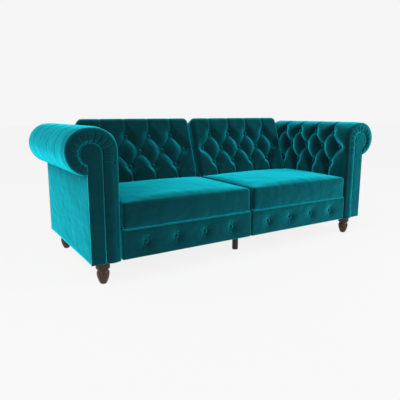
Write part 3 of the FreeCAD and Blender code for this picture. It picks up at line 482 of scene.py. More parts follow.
def fullness(across: float, along: float, power: float) -> float:
    """How full a panel is at shares of its width and length: 1 in the middle, 0 at its edges."""
    return max(16.0 * across * (1.0 - across) * along * (1.0 - along), 0.0) ** power


def nearest_spot(spots: Sequence[Spot], across: float, rise: float) -> tuple[float, float]:
    """Distance of a place from its nearest spot, and its direction from it."""
    return min((math.hypot(across - a, rise - r), math.atan2(rise - r, across - a)) for a, r in spots)


def soft_block(low: Vector, high: Vector, rounding: float, step: float) -> bmesh.types.BMesh:
    """Closed block of even quads with rounded edges.

    Args:
        low: its lowest corner.
        high: its highest corner.
        rounding: radius of its edges.
        step: size of a quad.

    Returns:
        The mesh.
    """
    bm = bmesh.new()
    bmesh.ops.create_cube(bm, size=1.0)
    size = high - low
    bmesh.ops.scale(bm, vec=size, verts=bm.verts)
    bmesh.ops.translate(bm, vec=(low + high) / 2, verts=bm.verts)
    for axis in range(3):
        along = [e for e in bm.edges if abs((e.verts[1].co - e.verts[0].co)[axis]) > ACROSS_LIMIT]
        cuts = max(round(size[axis] / step) - 1, 1)
        bmesh.ops.subdivide_edges(bm, edges=along, cuts=cuts, use_grid_fill=True)
    inset = Vector((rounding, rounding, rounding))
    core_low, core_high = low + inset, high - inset
    for vert in bm.verts:
        core = Vector(min(max(vert.co[i], core_low[i]), core_high[i]) for i in range(3))
        out = vert.co - core
        if out.length > 0:
            vert.co = core + out.normalized() * rounding
    bm.normal_update()
    return bm


def round_upper_corners(bm: bmesh.types.BMesh, radius: float) -> None:
    """Draws in the two upper corners of a block, seen from the front.

    Args:
        bm: the block, upright.
        radius: size of each corner.
    """
    ends = [vert.co.x for vert in bm.verts]
    first, last = min(ends) + radius, max(ends) - radius
    shoulder = max(vert.co.z for vert in bm.verts) - radius
    for vert in bm.verts:
        middle = min(max(vert.co.x, first), last)
        across = (vert.co.x - middle) / radius
        up = max(vert.co.z - shoulder, 0.0) / radius
        if across and up:
            vert.co.x = middle + radius * across * math.sqrt(1.0 - up * up / 2)
            vert.co.z = shoulder + radius * up * math.sqrt(1.0 - across * across / 2)
    bm.normal_update()


def outline_board(
    outline: Sequence[Vector], run: Vector, rounding: float, inset: float
) -> bmesh.types.BMesh:
    """Board of one flat outline with a rounded front edge.

    Args:
        outline: its front corners in order.
        run: its thickness and direction away from the front.
        rounding: radius of the front edge.
        inset: width of the strip of faces inside that edge.

    Returns:
        The mesh.
    """
    bm = bmesh.new()
    face = bm.faces.new([bm.verts.new(point) for point in outline])
    made = bmesh.ops.extrude_face_region(bm, geom=[face])
    moved = [item for item in made["geom"] if isinstance(item, bmesh.types.BMVert)]
    bmesh.ops.translate(bm, vec=run, verts=moved)
    bm.normal_update()
    bmesh.ops.recalc_face_normals(bm, faces=bm.faces)
    front = min(
        bm.faces, key=lambda one: (one.calc_center_median() - outline[0]).dot(run) - one.calc_area()
    )
    bmesh.ops.bevel(
        bm, geom=list(front.edges), offset=rounding, segments=4, profile=0.5, affect="EDGES", material=-1
    )
    largest = sorted(bm.faces, key=lambda one: -one.calc_area())[:2]
    bmesh.ops.inset_region(bm, faces=largest, thickness=inset, use_even_offset=True)
    return bm


def piping(points: Sequence[Vector], radius: float, closed: bool) -> bmesh.types.BMesh:
    """Round cord of cloth along points.

    Args:
        points: its middle line.
        radius: its radius.
        closed: whether it runs back to its start.

    Returns:
        The mesh.
    """
    curve = bpy.data.curves.new("piping_line", "CURVE")
    curve.dimensions = "3D"
    curve.bevel_depth = radius
    curve.bevel_resolution = 3
    curve.use_fill_caps = not closed
    spline = curve.splines.new("POLY")
    spline.points.add(len(points) - 1)
    for point, place in zip(spline.points, points):
        point.co = (*place, 1.0)
    spline.use_cyclic_u = closed
    holder = bpy.data.objects.new("piping_line", curve)
    mesh = bpy.data.meshes.new_from_object(holder)
    bm = bmesh.new()
    bm.from_mesh(mesh)
    bmesh.ops.remove_doubles(bm, verts=bm.verts, dist=SEAM)
    bmesh.ops.recalc_face_normals(bm, faces=bm.faces)
    bpy.data.objects.remove(holder)
    bpy.data.curves.remove(curve)
    bpy.data.meshes.remove(mesh)
    return bm


@dataclass(frozen=True)
class CoveredButton:
    """Button covered in the same cloth, with the small folds of its cover."""

    radius: float = 0.0125
    height: float = 0.0085
    folds: int = 9
    fold_depth: float = 0.014
    around: int = 36
    over: int = 14

    def add_to(self, bm: bmesh.types.BMesh, place: Vector, outward: Vector) -> None:
        """Adds one button.

        Args:
            bm: the mesh that holds the buttons.
            place: the middle of the button's seat.
            outward: the direction that it faces.
        """
        made = bmesh.ops.create_uvsphere(bm, u_segments=self.around, v_segments=self.over, radius=1.0)
        turn = outward.to_track_quat("Z", "Y").to_matrix()
        for vert in made["verts"]:
            x, y, z = vert.co
            angle = math.atan2(y, x)
            edge = math.hypot(x, y)
            pinch = 1.0 + self.fold_depth * math.sin(self.folds * angle) * edge * edge
            local = Vector((x * self.radius * pinch, y * self.radius * pinch, z * self.height))
            vert.co = place + turn @ local


@dataclass(frozen=True)
class Pleat:
    """Narrow crease in a cover, which fades towards its end."""

    start: Spot
    end: Spot
    depth: float
    end_depth: float
    reach: float
    fade: float = 2.0


@dataclass
class Tufting:
    """Deep buttoning on a flat layout: a spot is its place across the cover and its rise along it."""

    rows: Sequence[Sequence[Spot]]
    pleats: Sequence[Pleat] = ()
    fold_depth: float = 0.025
    button_depth: float = 0.032
    crest: float = 0.004
    fold_reach: float = 0.066
    fold_power: float = 2.1
    button_reach: float = 0.034
    button_grip: float = 0.94
    grip_share: float = 0.66
    button_lift: float = 0.002
    pleat_power: float = 2.2
    pucker_depth: float = 0.0009
    pucker_ring: float = 0.024
    pucker_width: float = 0.012
    puckers: int = 8
    folds: list[tuple[Spot, Spot]] = field(default_factory=list)

    def __post_init__(self) -> None:
        """Joins each button of the outer rows to its two neighbours in the middle row."""
        upper, middle, lower = self.rows
        for row in (upper, lower):
            for i, spot in enumerate(row):
                self.folds += [(spot, near) for near in middle[i:i + 2]]

    @property
    def spots(self) -> list[Spot]:
        """Every button."""
        return [spot for row in self.rows for spot in row]

    @staticmethod
    def along(start: Spot, end: Spot, across: float, rise: float) -> tuple[float, float]:
        """Distance of a place from a line between two spots, and its share of the way along."""
        run_a, run_r = end[0] - start[0], end[1] - start[1]
        off_a, off_r = across - start[0], rise - start[1]
        share = (off_a * run_a + off_r * run_r) / (run_a * run_a + run_r * run_r)
        share = min(max(share, 0.0), 1.0)
        return math.hypot(off_a - share * run_a, off_r - share * run_r), share

    def sink(self, across: float, rise: float) -> float:
        """How far the cover is drawn in at a place.

        Args:
            across: place across the cover.
            rise: place up the cover.

        Returns:
            The depth in metres.
        """
        pillow = 1.0
        for start, end in self.folds:
            distance, _ = self.along(start, end, across, rise)
            if distance < self.fold_reach:
                pillow *= 1.0 - (1.0 - distance / self.fold_reach) ** self.fold_power
        near, angle = nearest_spot(self.spots, across, rise)
        hold = math.exp(-(near / self.button_reach) ** 2)
        pillow *= 1.0 - self.button_grip * math.exp(-(near / (self.button_reach * self.grip_share)) ** 2)
        depth = self.fold_depth + (self.button_depth - self.fold_depth) * hold
        crease = -self.crest
        for pleat in self.pleats:
            distance, share = self.along(pleat.start, pleat.end, across, rise)
            if distance < pleat.reach:
                deep = pleat.end_depth + (pleat.depth - pleat.end_depth) * (1.0 - share) ** pleat.fade
                crease += deep * (1.0 - distance / pleat.reach) ** self.pleat_power
        ring = math.exp(-((near - self.pucker_ring) / self.pucker_width) ** 2)
        pucker = self.pucker_depth * ring * math.sin(self.puckers * angle)
        return depth * (1.0 - pillow) + crease * pillow + pucker

    def buttons(self, surface: Callable[[float, float], tuple[Vector, Vector]]) -> bmesh.types.BMesh:
        """Covered buttons, one in every tuft.

        Args:
            surface: gives the point and outward direction at a spot.

        Returns:
            The mesh that holds them.
        """
        bm = bmesh.new()
        button = CoveredButton()
        for across, rise in self.spots:
            point, outward = surface(across, rise)
            button.add_to(bm, point - outward * (self.button_depth - self.button_lift), outward)
        return bm


@dataclass
class ScrollArm:
    """One arm: tufted inside, pleated roll and front band in one cover, keyhole facing, outer panels."""

    side: Side
    roll_radius: float = 0.118
    edge_radius: float = 0.022
    step: float = 0.0042
    facing_head_radius: float = 0.054
    facing_run: float = 0.0115
    facing_welt_radius: float = 0.0030
    welt_foot: float = 0.002
    tuft_pitch: float = 0.165
    tuft_row: float = 0.118
    tuft_top: float = 0.060
    tuft_start: float = 0.095
    wide_row: int = 5
    ring_pleats: int = 13
    ring_pleat_depth: float = 0.0066
    ring_pleat_width: float = 0.014
    ring_pleat_taper: float = 0.006
    ring_seam: float = 0.0055
    fold_zone: float = 0.1
    pleat_foot: float = -0.45
    pleat_rear: float = 1.0
    rear_turn: float = 0.012
    panel_tuck: float = 0.004
    panel_swell: float = 0.0045
    panel_slack: float = 0.0016
    band_bulge: float = 0.006
    band_tuck: float = 0.012
    notch_top: float = 0.2805
    notch_inset: float = 0.0465
    notch_clearance: float = 0.001
    lip: float = 0.012

    def __post_init__(self) -> None:
        """Takes the arm's places from the frame."""
        low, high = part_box("right_arm_roll_pad")
        self.half_width = high.x
        self.inner_x = low.x
        self.top_z = high.z
        self.front_y = low.y
        self.rear_y = high.y
        self.roll_z = self.top_z - self.roll_radius
        self.roll_x = self.half_width - self.roll_radius
        self.shoulder_x = self.inner_x + self.roll_radius
        panel_low, panel_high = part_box("right_arm_outside_panel")
        self.outer_x = panel_high.x
        self.hem_z = panel_low.z
        facing_low, facing_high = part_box("right_arm_front_facing")
        self.facing_x = facing_low.x
        self.facing_y = facing_low.y
        self.head_x = self.facing_x + self.facing_head_radius
        self.head_z = facing_high.z - self.facing_head_radius
        _, seat_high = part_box("right_seat_frame")
        self.notch_start = self.front_y + self.notch_inset
        self.notch_end = seat_high.y + self.notch_clearance
        self.shoulder_end = self.roll_radius * math.pi / 2
        self.flat_end = self.shoulder_end + self.roll_x - self.shoulder_x
        under = math.pi - math.asin((self.outer_x - self.roll_x) / self.roll_radius)
        self.roll_end = self.flat_end + self.roll_radius * under
        self.tufts = self.layout()

    def layout(self) -> Tufting:
        """Buttons and pleats of the inside: places behind the arm front, rises from the roll axis."""
        wide = [self.tuft_start + i * self.tuft_pitch for i in range(self.wide_row)]
        narrow = [place + self.tuft_pitch / 2 for place in wide[:-1]]
        rises = [self.tuft_top - i * self.tuft_row for i in range(3)]
        rows = [[(place, rise) for place in row] for rise, row in zip(rises, (narrow, wide, narrow))]
        upper, middle, lower = rises
        pleats = [
            Pleat(
                (place, upper), (place, self.roll_end),
                depth=0.020, end_depth=0.0018, reach=0.022, fade=5.0,
            )
            for place in narrow
        ]
        pleats += [
            Pleat((place, lower), (place, self.pleat_foot), depth=0.022, end_depth=0.010, reach=0.040)
            for place in narrow
        ]
        for place, end, end_depth in ((wide[0], 0.0, 0.003), (wide[-1], self.pleat_rear, 0.005)):
            pleats.append(
                Pleat((place, middle), (end, middle), depth=0.018, end_depth=end_depth, reach=0.022)
            )
        return Tufting(rows, pleats, fold_depth=0.019)

    def profile(self, rise: float) -> tuple[Vector, Vector]:
        """Point and outward direction of the arm's section, with Y left at 0.

        Args:
            rise: length along the section from the inside at the height of the roll axis.

        Returns:
            The point and the direction.
        """
        if rise <= 0:
            return Vector((self.inner_x, 0, self.roll_z + rise)), Vector((-1, 0, 0))
        if rise <= self.shoulder_end:
            turn = rise / self.roll_radius
            out = Vector((-math.cos(turn), 0, math.sin(turn)))
            return Vector((self.shoulder_x, 0, self.roll_z)) + out * self.roll_radius, out
        if rise <= self.flat_end:
            return Vector((self.shoulder_x + rise - self.shoulder_end, 0, self.top_z)), Vector((0, 0, 1))
        turn = (rise - self.flat_end) / self.roll_radius
        out = Vector((math.sin(turn), 0, math.cos(turn)))
        return Vector((self.roll_x, 0, self.roll_z)) + out * self.roll_radius, out

    def surface(self, place: float, rise: float) -> tuple[Vector, Vector]:
        """Point and outward direction of the undrawn cover, this far behind the arm front."""
        point, out = self.profile(rise)
        point.y = self.front_y + place
        return point, out

    def keyhole(self, rise: float) -> Vector:
        """Point of the facing's outline that faces a rise of the section, with Y left at 0."""
        start = self.head_z - self.roll_z
        if rise <= start:
            return Vector((self.facing_x, 0, self.roll_z + rise))
        neck = math.asin((self.outer_x - self.head_x) / self.facing_head_radius)
        share = (rise - start) / (self.roll_end - start)
        turn = share * (1.5 * math.pi - neck)
        return Vector((
            self.head_x - math.cos(turn) * self.facing_head_radius,
            0,
            self.head_z + math.sin(turn) * self.facing_head_radius,
        ))

    def ring_crease(self, rise: float, share: float) -> float:
        """Depth of the gathered pleats round the facing's head, share of the way across the band."""
        start = self.tuft_top - self.tuft_row
        span = (self.roll_end - start) / self.ring_pleats
        seam = self.ring_seam * math.exp(-((rise - start) / self.ring_seam) ** 2)
        if rise < start:
            return seam
        offset = (rise - start) / span
        nearest = abs(offset - round(offset)) * span
        width = self.ring_pleat_width - self.ring_pleat_taper * share
        fold = max(1.0 - nearest / width, 0.0) ** 2
        gather = smooth_step(-0.05, 0.35, share)
        return max(self.ring_pleat_depth * fold * gather, seam)

    def cover_point(self, rise: float, run: float) -> Vector:
        """Point of the whole cover.

        Args:
            rise: length along the arm's section.
            run: length of cover to the rear from the tangent of the front edge; below 0, over the front.

        Returns:
            The point.
        """
        point, out = self.profile(rise)
        bend = self.edge_radius * math.pi / 2
        if run >= 0:
            place = run + self.edge_radius
            folded = abs(rise) <= self.fold_zone
            fade = smooth_step(-0.02, 0.01, run) if folded else smooth_step(0.0, 0.05, run)
            drawn = self.tufts.sink(place, rise) * fade
            rear = max(place - (self.rear_y - self.front_y - self.rear_turn), 0.0)
            point -= out * (drawn + rear * 0.5)
            point.y = self.front_y + place
            return point
        if run > -bend:
            turn = -run / self.edge_radius
            point -= out * self.edge_radius * (1 - math.cos(turn))
            point.y = self.front_y + self.edge_radius * (1 - math.sin(turn))
            return point
        share = min((-run - bend) / self.band_run(rise), 1.0)
        start = point - out * self.edge_radius
        point = start.lerp(self.keyhole(rise), share)
        crown = self.band_bulge * math.sin(math.pi * min(share * 1.25, 1.0))
        tuck = self.band_tuck * smooth_step(0.72, 1.0, share)
        point.y = self.front_y - crown + tuck + self.ring_crease(rise, share)
        return point

    def band_run(self, rise: float) -> float:
        """Length of cover across the front band."""
        point, out = self.profile(rise)
        return (self.keyhole(rise) - (point - out * self.edge_radius)).length

    def cover(self) -> bmesh.types.BMesh:
        """Inside, roll and front band as one cover, with its edges turned in."""
        low_rise = self.hem_z - self.roll_z
        rises = self.roll_end - low_rise
        bend = self.edge_radius * math.pi / 2
        back_run = self.rear_y - self.front_y - self.edge_radius
        band_steps = 22
        bend_steps = 7
        back_steps = round(back_run / self.step)
        columns = band_steps + bend_steps + back_steps
        bm = bmesh.new()
        bmesh.ops.create_grid(bm, x_segments=columns, y_segments=round(rises / self.step), size=0.5)
        for vert in bm.verts:
            rise = low_rise + (vert.co.y + 0.5) * rises
            column = (vert.co.x + 0.5) * columns
            if column < band_steps:
                run = -bend - (1.0 - column / band_steps) * self.band_run(rise)
            elif column < band_steps + bend_steps:
                run = -bend * (1.0 - (column - band_steps) / bend_steps)
            else:
                run = back_run * (column - band_steps - bend_steps) / back_steps
            vert.co = self.cover_point(rise, run)
        hidden = [face for face in bm.faces if self.behind_seat(face.calc_center_median())]
        bmesh.ops.delete(bm, geom=hidden, context="FACES")
        bm.normal_update()
        middle = Vector((self.roll_x, 0.0, self.roll_z))
        top = max(bm.verts, key=lambda vert: vert.co.z)
        if top.normal.dot(top.co - middle) < 0:
            bmesh.ops.reverse_faces(bm, faces=bm.faces)
            bm.normal_update()
        self.turn_in(bm)
        return bm

    def behind_seat(self, point: Vector) -> bool:
        """Whether a place of the cover lies where the seat box is bolted on."""
        return point.z < self.notch_top and self.notch_start < point.y < self.notch_end

    def turn_in(self, bm: bmesh.types.BMesh) -> None:
        """Turns every open edge of the cover in towards the frame."""
        rim = [edge for edge in bm.edges if edge.is_boundary]
        normals = {vert: vert.normal.copy() for edge in rim for vert in edge.verts}
        made = bmesh.ops.extrude_edge_only(bm, edges=rim)
        places = {tuple(round(c, 6) for c in vert.co): out for vert, out in normals.items()}
        for item in made["geom"]:
            if isinstance(item, bmesh.types.BMVert):
                item.co -= places[tuple(round(c, 6) for c in item.co)] * self.lip
        bmesh.ops.recalc_face_normals(bm, faces=bm.faces)

    def facing_outline(self) -> list[Vector]:
        """Corners of the keyhole facing from its outer foot, over its head, to its inner foot."""
        start = self.head_z - self.roll_z
        steps = 44
        run = start - self.roll_end
        head = [self.keyhole(self.roll_end + run * i / steps) for i in range(steps + 1)]
        outline = [Vector((self.outer_x, 0, self.hem_z)), *head, Vector((self.facing_x, 0, self.hem_z))]
        return [Vector((point.x, self.facing_y, point.z)) for point in outline]

    def facing(self) -> bmesh.types.BMesh:
        """Padded keyhole facing."""
        run = Vector((0, self.facing_run, 0))
        return outline_board(self.facing_outline(), run, rounding=0.0042, inset=0.010)

    def facing_welt(self) -> bmesh.types.BMesh:
        """Fine welt round the facing, from its inner foot over its head to the neck."""
        outline = self.facing_outline()[1:]
        foot = outline[-1]
        outline[-1] = Vector((foot.x, foot.y, foot.z + self.welt_foot))
        inward = Vector((0, self.facing_welt_radius, 0))
        return piping([point + inward for point in outline], self.facing_welt_radius, closed=False)

    def outside(self) -> bmesh.types.BMesh:
        """Plain panel under the roll, slightly full."""
        low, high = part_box("right_arm_outside_panel")
        low.y = self.facing_y + self.panel_tuck
        low.x -= self.panel_tuck
        bm = soft_block(low, high, rounding=0.0045, step=0.011)
        for vert in bm.verts:
            if vert.co.x > high.x - self.panel_tuck:
                up = (vert.co.z - low.z) / (high.z - low.z)
                along = (vert.co.y - low.y) / (high.y - low.y)
                full = fullness(along, up, power=0.6)
                slack = noise.noise(Vector((vert.co.y * 5.0, vert.co.z * 3.0, 0.3)))
                vert.co.x += (self.panel_swell + self.panel_slack * slack) * full
        return bm

    def rear(self) -> bmesh.types.BMesh:
        """Panel that closes the rear of the arm, with its edge rounded."""
        low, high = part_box("right_arm_rear_panel")
        steps = 64
        section = [self.profile(self.roll_end * i / steps)[0] for i in range(steps + 1)]
        outline = [Vector((self.inner_x, 0, self.hem_z)), *section, Vector((self.outer_x, 0, self.hem_z))]
        points = [Vector((point.x, high.y, point.z)) for point in outline]
        return outline_board(points, Vector((0, low.y - high.y, 0)), rounding=0.003, inset=0.012)

    def buttons(self) -> bmesh.types.BMesh:
        """Buttons of the inside."""
        return self.tufts.buttons(self.surface)

    def build(self, shop: Workshop) -> None:
        """Makes and dresses the arm's pieces."""
        shop.piece(
            self.cover(), "arm_cover", BASE_BODY, self.side,
            replaces=("arm_roll_pad", "arm_inside_pad"),
        )
        shop.piece(
            self.facing(), "arm_facing_cover", BASE_BODY, self.side,
            replaces=("arm_front_facing",),
        )
        shop.piece(self.facing_welt(), "arm_facing_welt", BASE_BODY, self.side, finish=PIPING_FINISH)
        shop.piece(
            self.outside(), "arm_outside_cover", BASE_BODY, self.side,
            replaces=("arm_outside_panel",),
        )
        shop.piece(
            self.rear(), "arm_rear_cover", BASE_BODY, self.side, replaces=("arm_rear_panel",)
        )
        shop.piece(self.buttons(), "arm_cover_buttons", BASE_BODY, self.side, replaces=("arm_buttons",))


@dataclass
class ReclineBack:
    """One back: deep-buttoned cover, edge cover round its frame, rear panel and buttons."""

    side: Side
    rake: float = math.radians(19.5)
    pad_front: float = -0.030
    pad_rear: float = 0.055
    frame_rear: float = 0.0905
    board_rear: float = 0.0953
    low: float = 0.010
    top: float = 0.455
    frame_top: float = 0.4435
    edge_radius: float = 0.028
    pad_corner: float = 0.040
    frame_corner: float = 0.026
    edge_wrap: float = 0.0018
    step: float = 0.0044
    frame_step: float = 0.0065
    tuft_pitch: float = 0.171
    tuft_row: float = 0.106
    tuft_low: float = 0.120
    wide_row: int = 5
    pleat_over: float = 0.09
    pleat_foot: float = -0.03
    pleat_past: float = 0.02
    rear_fade: Spot = (0.02, 0.055)
    foot_fade: Spot = (0.03, 0.10)
    end_fade: float = 0.035
    end_hold: float = 0.35
    rear_swell: float = 0.0018
    rear_slack: float = 0.0008

    def __post_init__(self) -> None:
        """Takes the back's ends and pivot from the frame."""
        low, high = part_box("right_back_pad")
        self.start_x = low.x
        self.end_x = high.x
        self.mid_x = (low.x + high.x) / 2
        joint = next(j for j in frame["joints"] if j["name"] == "right_back_recline")
        self.pivot = Vector(joint["pos_m"])
        self.tufts = self.layout()

    def layout(self) -> Tufting:
        """Buttons and pleats, with places from the middle of the back and rises above the pivot."""
        def row(count: int, rise: float) -> list[Spot]:
            """Evenly spaced buttons at one rise."""
            return [((i - (count - 1) / 2) * self.tuft_pitch, rise) for i in range(count)]

        counts = (self.wide_row - 1, self.wide_row, self.wide_row - 1)
        rows = [row(count, self.tuft_low + (2 - i) * self.tuft_row) for i, count in enumerate(counts)]
        upper, middle, lower = rows
        over = self.top + self.pleat_over
        pleats = [
            Pleat((place, rise), (place, over), depth=0.022, end_depth=0.0012, reach=0.026, fade=3.0)
            for place, rise in upper
        ]
        pleats += [
            Pleat((place, rise), (place, self.pleat_foot), depth=0.024, end_depth=0.010, reach=0.040)
            for place, rise in lower
        ]
        half = (self.end_x - self.start_x) / 2
        for place, rise in (middle[0], middle[-1]):
            edge = math.copysign(half + self.pleat_past, place)
            pleats.append(Pleat((place, rise), (edge, rise), depth=0.022, end_depth=0.003, reach=0.022))
        return Tufting(rows, pleats, fold_reach=0.0655)

    def placed(self, bm: bmesh.types.BMesh) -> bmesh.types.BMesh:
        """Moves a mesh from the back's own frame, pivot at the origin, to its place."""
        turn = Matrix.Rotation(-self.rake, 4, "X")
        shift = Matrix.Translation(Vector((0, self.pivot.y, self.pivot.z)))
        bmesh.ops.transform(bm, matrix=shift @ turn, verts=bm.verts)
        return bm

    def cover(self) -> bmesh.types.BMesh:
        """Deep-buttoned cover with rounded edges."""
        low = Vector((self.start_x, self.pad_front, self.low))
        high = Vector((self.end_x, self.pad_rear, self.top))
        bm = soft_block(low, high, self.edge_radius, self.step)
        round_upper_corners(bm, self.pad_corner)
        core_top = self.top - self.edge_radius
        outward = {vert: vert.normal.copy() for vert in bm.verts}
        for vert, out in outward.items():
            front = smooth_step(*self.rear_fade, self.pad_rear - vert.co.y)
            rise = vert.co.z
            if rise > core_top:
                rise += max(vert.co.y - self.pad_front, 0.0)
            ends = smooth_step(0.0, self.end_fade, min(vert.co.x - self.start_x, self.end_x - vert.co.x))
            hold = self.end_hold + (1.0 - self.end_hold) * ends
            drawn = self.tufts.sink(vert.co.x - self.mid_x, rise) * front * hold
            if drawn < 0:
                drawn *= smooth_step(*self.foot_fade, vert.co.z - self.low)
            vert.co -= out * drawn
        return self.placed(bm)

    def edge_cover(self) -> bmesh.types.BMesh:
        """Velvet round the ends and top of the timber frame."""
        low = Vector((self.start_x - self.edge_wrap, self.pad_rear - 0.002, self.low + 0.0015))
        high = Vector((self.end_x + self.edge_wrap, self.frame_rear, self.frame_top))
        bm = soft_block(low, high, rounding=0.004, step=self.frame_step)
        round_upper_corners(bm, self.frame_corner)
        return self.placed(bm)

    def rear(self) -> bmesh.types.BMesh:
        """Rear panel, slightly full."""
        low = Vector((self.start_x - 0.0003, self.frame_rear - 0.001, self.low))
        high = Vector((self.end_x + 0.0003, self.board_rear - 0.0030, self.frame_top + 0.0005))
        bm = soft_block(low, high, rounding=0.0014, step=self.frame_step)
        round_upper_corners(bm, self.frame_corner)
        for vert in bm.verts:
            if vert.co.y > high.y - 0.001:
                up = (vert.co.z - low.z) / (high.z - low.z)
                along = (vert.co.x - low.x) / (high.x - low.x)
                full = fullness(along, up, power=0.6)
                slack = noise.noise(Vector((vert.co.x * 5.0, vert.co.z * 5.0, 1.7)))
                vert.co.y += (self.rear_swell + self.rear_slack * slack) * full
        return self.placed(bm)

    def surface(self, place: float, rise: float) -> tuple[Vector, Vector]:
        """Point and outward direction on the front, in the back's own frame."""
        return Vector((self.mid_x + place, self.pad_front, rise)), Vector((0, -1, 0))

    def buttons(self) -> bmesh.types.BMesh:
        """Buttons of the front."""
        return self.placed(self.tufts.buttons(self.surface))

    def build(self, shop: Workshop) -> None:
        """Makes and dresses the back's pieces."""
        body = self.side.back_body
        shop.piece(self.cover(), "back_cover", body, self.side, replaces=("back_pad",))
        shop.piece(self.edge_cover(), "back_edge_cover", body, self.side)
        shop.piece(
            self.rear(), "back_rear_cover", body, self.side, replaces=("back_rear_panel",)
        )
        shop.piece(self.buttons(), "back_cover_buttons", body, self.side, replaces=("back_buttons",))


@dataclass
class SeatBox:
    """One seat: cushion with piping, buttoned front panel and dust cloth."""

    side: Side
    cushion_step: float = 0.0105
    cushion_round: float = 0.018
    edge_height: float = 0.431
    front_buttons: int = 4
    button_pitch: float = 0.188
    dimple_depth: float = 0.018
    dimple_reach: float = 0.030
    pucker_depth: float = 0.0012
    pucker_ring: float = 0.026
    pucker_width: float = 0.012
    puckers: int = 7
    welt_radius: float = 0.0040
    welt_overhang: float = 0.0015
    crown: float = 0.013
    rear_drop: float = 0.004
    rear_fade: Spot = (-0.07, -0.02)
    front_slack: float = 0.0022
    top_dents: float = 0.0020
    panel_slack: float = 0.0012
    cloth_sag: float = 0.004
    cloth_gap: float = 0.0003
    cloth_thickness: float = 0.0008
    rise_cap: float = 0.030
    side_cap: float = 0.0045
    pressure: float = 0.20
    frames: int = 18

    def __post_init__(self) -> None:
        """Takes the seat's places from the frame."""
        self.cushion_low, self.cushion_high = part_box("right_seat_cushion")
        self.cushion_high.z = self.edge_height
        self.panel_low, self.panel_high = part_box("right_seat_front_panel")
        self.mid_x = (self.cushion_low.x + self.cushion_high.x) / 2

    def inflate(self, bm: bmesh.types.BMesh) -> bmesh.types.BMesh:
        """Fills a closed cover by cloth pressure, with its underside held down.

        Args:
            bm: the cover; it is freed.

        Returns:
            The filled cover.
        """
        mesh = bpy.data.meshes.new("cushion_shell")
        bm.to_mesh(mesh)
        obj = add_object("cushion_shell", mesh)
        scene = bpy.context.scene
        held = obj.vertex_groups.new(name="held")
        base = self.cushion_low.z + self.cushion_round * 0.5
        held.add([v.index for v in mesh.vertices if v.co.z < base], 1.0, "REPLACE")
        cloth = obj.modifiers.new("cloth", "CLOTH")
        cloth.settings.quality = 6
        cloth.settings.mass = 0.3
        cloth.settings.tension_stiffness = 12.0
        cloth.settings.compression_stiffness = 12.0
        cloth.settings.shear_stiffness = 6.0
        cloth.settings.bending_stiffness = 0.8
        cloth.settings.use_pressure = True
        cloth.settings.uniform_pressure_force = self.pressure
        cloth.settings.vertex_group_mass = held.name
        cloth.settings.effector_weights.gravity = 0.0
        cloth.point_cache.frame_start = 1
        cloth.point_cache.frame_end = self.frames
        for number in range(1, self.frames + 1):
            scene.frame_set(number)
        filled = obj.evaluated_get(bpy.context.evaluated_depsgraph_get()).to_mesh()
        moves = [after.co - before.co for after, before in zip(filled.vertices, mesh.vertices)]
        bm.verts.ensure_lookup_table()
        caps = (self.side_cap, self.side_cap, self.rise_cap)
        for vert, move in zip(bm.verts, moves):
            limited = Vector(cap * math.tanh(part / cap) for part, cap in zip(move, caps))
            rear = smooth_step(*self.rear_fade, vert.co.y - self.cushion_high.y)
            vert.co += limited * (1.0 - rear)
        scene.frame_set(1)
        bpy.data.objects.remove(obj)
        bpy.data.meshes.remove(mesh)
        return bm

    def cushion(self) -> bmesh.types.BMesh:
        """Crowned cushion, filled by cloth pressure, with soft puckers in its front."""
        bm = soft_block(self.cushion_low, self.cushion_high, self.cushion_round, self.cushion_step)
        size = self.cushion_high - self.cushion_low
        for vert in bm.verts:
            across = (vert.co.x - self.cushion_low.x) / size.x
            along = (vert.co.y - self.cushion_low.y) / size.y
            up = smooth_step(0.5, 1.0, (vert.co.z - self.cushion_low.z) / size.z)
            full = fullness(across, along, power=0.7)
            vert.co.z += self.crown * up * full
            vert.co.z -= self.rear_drop * up * smooth_step(0.93, 1.0, along)
        bm = self.inflate(bm)
        bmesh.ops.subdivide_edges(bm, edges=bm.edges, cuts=1, use_grid_fill=True, smooth=0.0)
        bm.normal_update()
        outward = {vert: vert.normal.copy() for vert in bm.verts}
        for vert, out in outward.items():
            front = max(-out.y, 0.0)
            slack = noise.noise(Vector((vert.co.x * 11.0, vert.co.z * 5.0, 2.0)))
            dents = noise.noise(Vector((vert.co.x * 4.0, vert.co.y * 4.0, 5.0)))
            dents *= 1.0 - smooth_step(0.88, 0.96, (vert.co.y - self.cushion_low.y) / size.y)
            vert.co += out * (self.front_slack * slack * front + self.top_dents * dents * max(out.z, 0.0))
        bmesh.ops.smooth_vert(
            bm, verts=bm.verts, factor=0.5, use_axis_x=True, use_axis_y=True, use_axis_z=True
        )
        return bm

    def welt(self) -> bmesh.types.BMesh:
        """Piping round the lower edge of the cushion."""
        radius = self.cushion_round
        x0, x1 = self.cushion_low.x - self.welt_overhang, self.cushion_high.x + self.welt_overhang
        y0, y1 = self.cushion_low.y - self.welt_overhang, self.cushion_high.y + self.welt_overhang
        z = self.cushion_low.z - self.welt_radius * 0.2
        points = []
        steps = 8
        corners = (
            (x0 + radius, y0 + radius, math.pi), (x1 - radius, y0 + radius, 1.5 * math.pi),
            (x1 - radius, y1 - radius, 0.0), (x0 + radius, y1 - radius, 0.5 * math.pi),
        )
        for x, y, first in corners:
            for i in range(steps + 1):
                turn = first + i / steps * math.pi / 2
                points.append(Vector((x + radius * math.cos(turn), y + radius * math.sin(turn), z)))
        return piping(points, self.welt_radius, closed=True)

    def button_spots(self) -> list[Spot]:
        """X and Z of the buttons on the front panel."""
        height = (self.panel_low.z + self.panel_high.z) / 2
        count = self.front_buttons
        offsets = [(i - (count - 1) / 2) * self.button_pitch for i in range(count)]
        return [(self.mid_x + offset, height) for offset in offsets]

